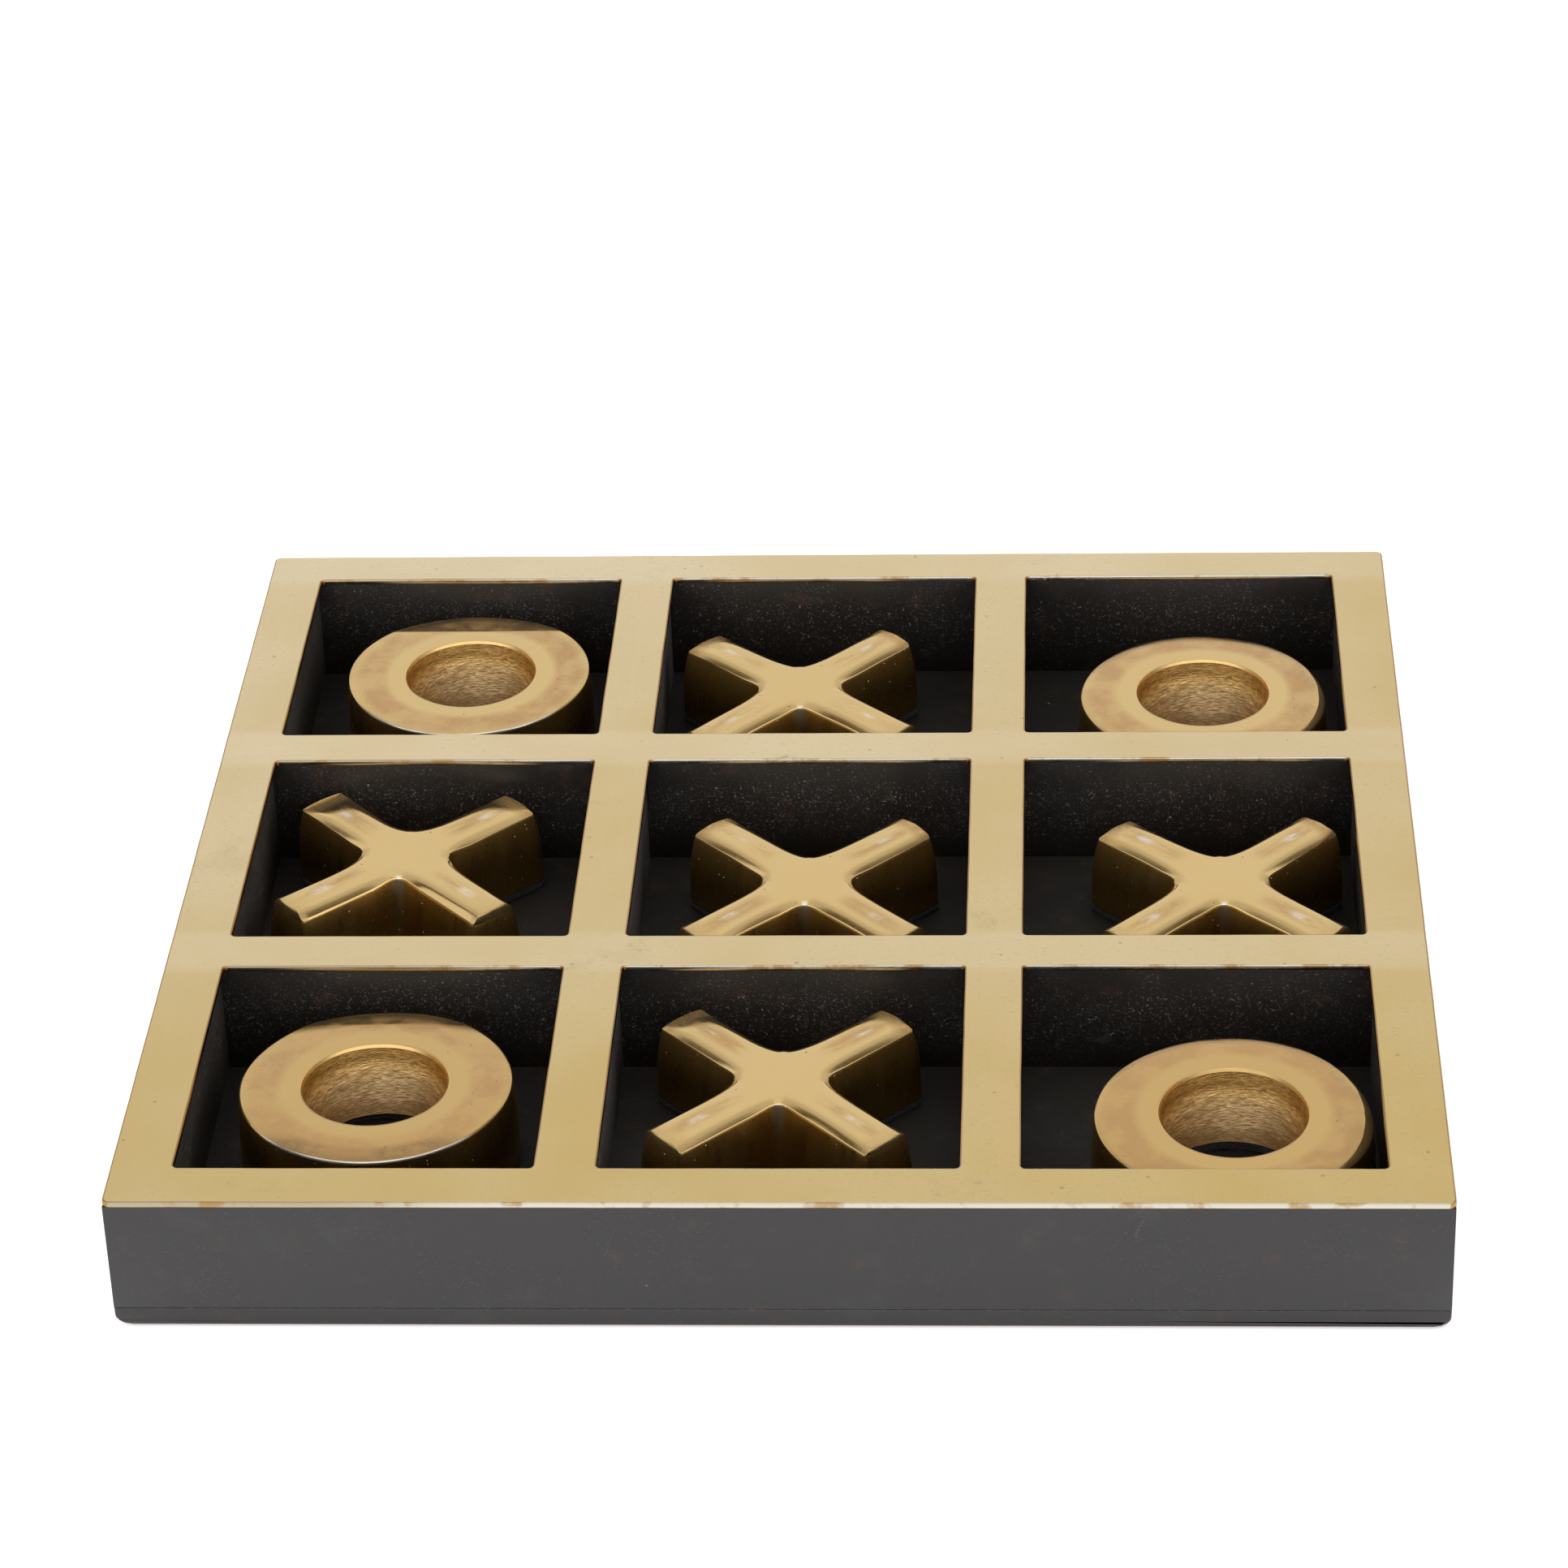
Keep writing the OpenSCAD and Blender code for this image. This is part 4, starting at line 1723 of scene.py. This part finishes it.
@dataclass
class Grid:
    """The sheet-brass grid, its windows cut and filed by hand."""

    palette: Palette
    columns: tuple[Pair, ...] = ((-90.5, -36.45), (-26.95, 27.1), (36.3, 90.5))
    rows: tuple[Pair, ...] = ((-90.9, -36.1), (-27.0, 27.6), (36.5, 91.1))
    window_radius: float = 0.7
    corner_radius: float = 1.2
    wave: float = 0.09
    edge: float = 0.3
    step: float = 1.6

    def filed(self, outline: Sequence[Vector], middle: Vector, length: float, seed: float) -> list[Vector]:
        """An outline with the small waves that filing by hand left; each takes metal away.

        Args:
            outline: the outline.
            middle: the point that it goes round, which is the origin for the outer outline alone.
            length: the length of the waves.
            seed: sets these waves apart from others.

        Returns:
            The moved points: further out for a window, further in for the outer outline.
        """
        outwards = 1 if middle.length > 0 else -1
        moved = []
        for point in outline:
            reach = abs(wobble(point, self.wave, length, seed).x) * outwards
            moved.append(point + (point - middle).normalized() * reach)
        return moved

    def outlines(self) -> list[list[Vector]]:
        """The outlines that the sheet is cut along, each with the metal on its left side.

        Returns:
            The outer outline and the nine windows.
        """
        low, high = node_box("brass_grid")
        outer = rounded_window((low.x, high.x), (low.y, high.y), self.corner_radius, self.step)
        outlines = [self.filed(outer, Vector((0, 0, 0)), 14, 3.0)]
        for x in self.columns:
            for y in self.rows:
                window = rounded_window(x, y, self.window_radius, self.step)
                middle = Vector(((x[0] + x[1]) / 2, (y[0] + y[1]) / 2, 0))
                outlines.append(self.filed(window, middle, 9, 5.0)[::-1])
        return outlines

    def build(self) -> None:
        """Makes the sheet and lays it on the tray."""
        low, high = node_box("brass_grid")
        skin = Skin()
        tops, feet = [], []
        for outline in self.outlines():
            steps = ((0.05, low.z), (0.0, low.z + 0.06), (0.0, high.z - self.edge),
                     (0.1, high.z - 0.08), (self.edge, high.z))
            rings = []
            for inwards, z in steps:
                moved = pulled_in(outline, inwards)
                rings.append(skin.loop([Vector((p.x, p.y, z)) for p in moved]))
            for below, above in zip(rings, rings[1:]):
                skin.band(below, above)
            tops.append(rings[-1])
            feet.append(rings[0])
        self.fill(skin, tops, up=True)
        self.fill(skin, feet, up=False)
        sheet = skin.piece("brass_sheet", [self.palette.sheet], 30.0)
        self.crease(sheet)
        settle(sheet, Body.BOARD.value, Slot.SHEET_BRASS, "brass_grid")

    @staticmethod
    def fill(skin: Skin, rings: list[list[int]], up: bool) -> None:
        """Closes the flat between the outer outline and the windows.

        Args:
            skin: the sheet's mesh.
            rings: the outlines' corners.
            up: whether the flat looks up or down.
        """
        numbers = [i for ring in rings for i in ring]
        flat = [skin.corners[i].xy for i in numbers]
        edges: list[tuple[int, int]] = []
        for ring in rings:
            start = len(edges)
            edges += [(start + i, start + (i + 1) % len(ring)) for i in range(len(ring))]
        windows = [[skin.corners[i] for i in ring] for ring in rings[1:]]
        _, _, faces, came, _, _ = geometry.delaunay_2d_cdt(flat, edges, [], 1, 1e-6)
        for face in faces:
            a, b, c = (came[i][0] for i in face)
            middle = (flat[a] + flat[b] + flat[c]) / 3
            if any(lies_inside(middle, window) for window in windows):
                continue
            leftwards = (flat[b] - flat[a]).cross(flat[c] - flat[a]) > 0
            corners = [numbers[a], numbers[b], numbers[c]]
            skin.face(corners if leftwards == up else corners[::-1])

    @staticmethod
    def crease(sheet: bpy.types.Object) -> None:
        """Keeps the flat of the sheet flat to the eye, up to the round of its edges.

        Args:
            sheet: the piece.
        """
        mesh = sheet.data
        level = 0.9999
        flat = {key for p in mesh.polygons if abs(p.normal.z) > level for key in p.edge_keys}
        others = {key for p in mesh.polygons if abs(p.normal.z) <= level for key in p.edge_keys}
        sharp = flat & others
        for edge in mesh.edges:
            if edge.key in sharp:
                edge.use_edge_sharp = True


@dataclass
class Tray:
    """The wooden tray: bottom board, walls, dividers and the felt under it."""

    palette: Palette
    ease: float = 0.12
    foot_radius: float = 0.3
    worn_to: float = 1.9
    felt_fibres: int = 500
    tuft_fibres: int = 60

    def slat(self, node: str, grain: Grain) -> None:
        """Makes a wall or divider with eased edges.

        Args:
            node: the CAD node that it stands for.
            grain: which way its grain runs.
        """
        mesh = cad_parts[node].data.copy()
        mesh.name = f"{node}_painted"
        work = bmesh.new()
        work.from_mesh(mesh)
        bmesh.ops.remove_doubles(work, verts=work.verts, dist=1e-6)
        bmesh.ops.dissolve_limit(work, angle_limit=math.radians(2), verts=work.verts, edges=work.edges)
        sharp = math.radians(40)
        corners = [e for e in work.edges if len(e.link_faces) == 2 and e.calc_face_angle() > sharp]
        bmesh.ops.bevel(work, geom=corners, offset=self.ease * MM, segments=2, profile=0.5,
                        affect="EDGES", clamp_overlap=True)
        work.to_mesh(mesh)
        work.free()
        mesh.materials.clear()
        mesh.materials.append(self.palette.paint[grain])
        mesh.polygons.foreach_set("use_smooth", [True] * len(mesh.polygons))
        mesh.set_sharp_from_angle(angle=math.radians(50))
        piece = bpy.data.objects.new(f"{node}_painted", mesh)
        bpy.context.scene.collection.objects.link(piece)
        settle(piece, Body.BOARD.value, Slot.BLACK_WOOD, node)

    def panel(self) -> None:
        """Makes the bottom board, its lower edges eased and its corners worn round."""
        low, high = node_box("base_panel")
        skin = Skin()
        levels = []
        for i in range(5):
            angle = math.radians(90 * i / 4)
            inset, up = 1 - math.sin(angle), 1 - math.cos(angle)
            levels.append((self.foot_radius * inset, self.foot_radius * up))
        levels += [(0.0, up) for up in (0.6, 1.0, 1.4, self.worn_to)]
        loops = []
        for inset, up in levels:
            loops.append(self.panel_loop(skin, inset, low.z + up, (1 - up / self.worn_to) ** 2))
        loops.append(self.panel_loop(skin, 0.0, high.z - self.ease, 0.0))
        loops.append(self.panel_loop(skin, self.ease * 0.3, high.z - self.ease * 0.3, 0.0))
        loops.append(self.panel_loop(skin, self.ease, high.z, 0.0))
        skin.stack(loops)
        piece = skin.piece("base_panel_painted", [self.palette.paint[Grain.ACROSS]], 30.0)
        settle(piece, Body.BOARD.value, Slot.BLACK_WOOD, "base_panel")

    @staticmethod
    def panel_loop(skin: Skin, inset: float, z: float, wear: float) -> list[int]:
        """One level of the bottom board.

        Args:
            skin: the board's mesh.
            inset: how far it lies inside the board's full outline.
            z: its height.
            wear: from 0 to 1, how far its corners are worn round here.

        Returns:
            The corners' numbers.
        """
        low, high = node_box("base_panel")
        corner = 0.35 + 2.4 * wear
        x, y = (low.x + inset, high.x - inset), (low.y + inset, high.y - inset)
        loop = rounded_window(x, y, corner, 12.0)
        return skin.loop([Vector((p.x, p.y, z)) for p in loop])

    def underside(self) -> None:
        """Makes the felt under the tray, with loose fibres along its cut edge."""
        low, high = node_box("underside_felt")
        edge = rounded_window((low.x, high.x), (low.y, high.y), 1.0, 3.0)
        skin = Skin()
        loops = []
        for inset, z in ((0.4, low.z), (0.3, low.z + 0.1), (0.3, high.z)):
            ring = [p + wobble(p, 0.25, 4, 8.0) for p in pulled_in(edge, inset)]
            loops.append(skin.loop([Vector((p.x, p.y, z)) for p in ring]))
        skin.stack(loops)
        draw = random.Random(7)
        inner = pulled_in(edge, 0.6)
        fuzz(skin, inner, self.felt_fibres, 0.06, high.z - 0.06, draw, (0.2, 0.55))
        for start, end in ((68.0, 76.5), (84.5, 91.0)):
            tuft = [Vector((start, low.y + 0.5, 0.0)), Vector((end, low.y + 0.5, 0.0))]
            fuzz(skin, tuft, self.tuft_fibres, 0.06, high.z - 0.06, draw, (0.5, 0.9))
        piece = skin.piece("underside_felt_sheet", [self.palette.rose_felt])
        settle(piece, Body.BOARD.value, Slot.ROSE_FELT, "underside_felt")

    def build(self) -> None:
        """Makes every piece of the tray."""
        for side in ("front", "back"):
            self.slat(f"{side}_wall", Grain.ACROSS)
            self.slat(f"divider_across_{side}", Grain.ACROSS)
        for side in ("left", "right"):
            self.slat(f"{side}_wall", Grain.ALONG)
            self.slat(f"divider_along_{side}", Grain.ALONG)
        self.panel()
        self.underside()


@dataclass
class Studio:
    """The white floor, the soft light and the camera."""

    camera_place: Triple = (42.54, -708.9, 461.7)
    pitch: float = 31.013
    yaw: float = -3.648
    roll: float = 2.072
    lens: float = 116.95
    floor_half: float = 6000.0
    white: Colour = (1.0, 1.0, 1.0)
    dim: Colour = (0.13, 0.092, 0.05)
    window: Colour = (1.9, 1.9, 1.9)

    def floor(self) -> None:
        """Lays the white floor; it adds its own white only where it is looked at or mirrored."""
        finish = Finish("studio_floor")
        wires = finish.wires
        rays = wires.add("ShaderNodeLightPath")
        kinds = ("Is Camera Ray", "Is Glossy Ray", "Is Transmission Ray")
        seen = wires.larger(*(rays.outputs[kind] for kind in kinds))
        finish.set(Base_Color=(0.8, 0.8, 0.8), Roughness=0.9, Specular_IOR_Level=0.0)
        finish.set(Emission_Color=self.white, Emission_Strength=wires.times(seen, 0.45))
        skin = Skin()
        far = self.floor_half
        corners = ((-far, -far), (far, -far), (far, far), (-far, far))
        skin.face(skin.loop([Vector((*corner, 0)) for corner in corners]))
        skin.piece("studio_floor", [finish.material])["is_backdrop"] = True

    def sky(self) -> None:
        """Lights the room: white, dim high up on both sides, with a window behind the camera."""
        world = bpy.data.worlds.new("studio")
        bpy.context.scene.world = world
        world.use_nodes = True
        wires = Wires(world.node_tree)
        way = wires.add("ShaderNodeTexCoord").outputs["Generated"]
        x, y, z = wires.add("ShaderNodeSeparateXYZ", {0: way}).outputs
        off = wires.size(x)
        beside = wires.plus(wires.span(off, 0.05, 0.5, 0.0, 0.3), wires.span(off, 0.54, 0.8, 0.0, 0.7))
        low = wires.times(wires.span(z, 0.08, 0.18), wires.span(z, 0.5, 0.36))
        window = wires.times(low, wires.span(y, -0.15, -0.5))
        colour = wires.layered(
            self.white,
            (wires.times(beside, wires.span(z, 0.52, 0.61)), self.dim),
            (window, self.window),
        )
        backdrop = world.node_tree.nodes["Background"]
        wires.feed(backdrop.inputs[0], colour)
        backdrop.inputs[1].default_value = 0.95

    def lamp(self, name: str, place: Triple, size: float, power: float) -> None:
        """Adds a soft square lamp that looks at the board.

        Args:
            name: its name.
            place: where it hangs, in millimetres.
            size: its side in millimetres.
            power: its power in watts.
        """
        light = bpy.data.lights.new(name, "AREA")
        light.size = size * MM
        light.energy = power
        thing = bpy.data.objects.new(name, light)
        spot = Vector(place)
        thing.location = spot * MM
        thing.rotation_euler = (-spot).to_track_quat("-Z", "Y").to_euler()
        thing.visible_glossy = False
        bpy.context.scene.collection.objects.link(thing)

    def camera(self) -> None:
        """Stands the camera where the photograph was taken."""
        data = bpy.data.cameras.new("camera")
        data.lens = self.lens
        data.sensor_width = 36.0
        data.clip_end = 100.0
        camera = bpy.data.objects.new("camera", data)
        pitch, yaw, roll = (math.radians(v) for v in (self.pitch, self.yaw, self.roll))
        level = Vector((math.cos(yaw), -math.sin(yaw), 0.0))
        forward = Vector((math.sin(yaw), math.cos(yaw), 0.0))
        ahead = forward * math.cos(pitch) - Vector((0.0, 0.0, math.sin(pitch)))
        down = ahead.cross(level)
        right = level * math.cos(roll) + down * math.sin(roll)
        below = down * math.cos(roll) - level * math.sin(roll)
        turn = Matrix((right, -below, -ahead)).transposed().to_4x4()
        camera.matrix_world = Matrix.Translation(Vector(self.camera_place) * MM) @ turn
        bpy.context.scene.collection.objects.link(camera)
        bpy.context.scene.camera = camera

    def build(self) -> None:
        """Sets the studio up."""
        self.camera()
        self.floor()
        self.sky()
        self.lamp("left_softbox", (-700.0, -100.0, 500.0), 500.0, 3.2)
        self.lamp("right_softbox", (750.0, 0.0, 550.0), 500.0, 3.2)


def crosses(palette: Palette) -> list[Cross]:
    """The five crosses, each as it lies and as its casting came out.

    Args:
        palette: the materials.

    Returns:
        The crosses by number.
    """
    return [
        Cross(1, palette, turn=2.8, crotches=(1.2, 1.0, 0.95, 1.15), falls=(0.15, 0.7, 0.3, 0.15)),
        Cross(2, palette, turn=-2.3, shift=(0.0, 0.85), tilt=(0.0, 0.02), hub_rise=0.8,
              falls=(0.4, 0.95, 0.0, 0.0)),
        Cross(3, palette, turn=-1.2, shift=(0.15, 0.1), crotches=(1.2, 1.15, 1.1, 1.15),
              falls=(0.0, 0.3, 0.6, 0.0)),
        Cross(4, palette, turn=1.3, shift=(0.0, -0.1), crotches=(1.6, 1.5, 0.95, 1.4),
              falls=(0.2, 0.6, 0.2, 0.2)),
        Cross(5, palette, turn=-1.2, crotches=(1.6, 1.15, 0.78, 1.15), falls=(0.4, 1.0, 0.2, 0.2)),
    ]


def rings(palette: Palette) -> list[Ring]:
    """The four rings, each with its own slope and worn side.

    Args:
        palette: the materials.

    Returns:
        The rings by number.
    """
    return [
        Ring(1, palette, rim_drop=0.1, slope=0.01, facet_from=14.5, facet_slope=0.13,
             shift=(0.0, 0.15), off_centre=(-0.35, 0.35)),
        Ring(2, palette, rim_drop=0.45, round_off=5.0, chamfer=1.0, shift=(0.0, -0.78),
             off_centre=(0.0, -0.42), squash=0.016),
        Ring(3, palette, rim_drop=0.5, swing=0.2, high_side=100.0, slope=-0.02, facet_from=17.1,
             facet_slope=0.10, shift=(-0.2, -0.3), off_centre=(0.0, 0.6)),
        Ring(4, palette, rim_drop=0.45, round_off=5.0, slope=0.03, chamfer=1.2, shift=(0.0, -1.2),
             off_centre=(0.0, -0.26), squash=0.05),
    ]


def main() -> None:
    """Builds the studio and the board, piece by piece."""
    logging.basicConfig(level=logging.INFO, format="%(name)s: %(message)s")
    scene = bpy.context.scene
    scene.view_settings.view_transform = "Standard"
    Studio().build()
    palette = Palette(Effects())
    Tray(palette).build()
    Grid(palette).build()
    for playing in [*crosses(palette), *rings(palette)]:
        playing.build()
    bpy.context.view_layer.update()
    boxes = {"cad": CAD_BOX, "visual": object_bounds()}
    {name: [list(corner) for corner in box] for name, box in boxes.items()}


if __name__ == "__main__":
    main()
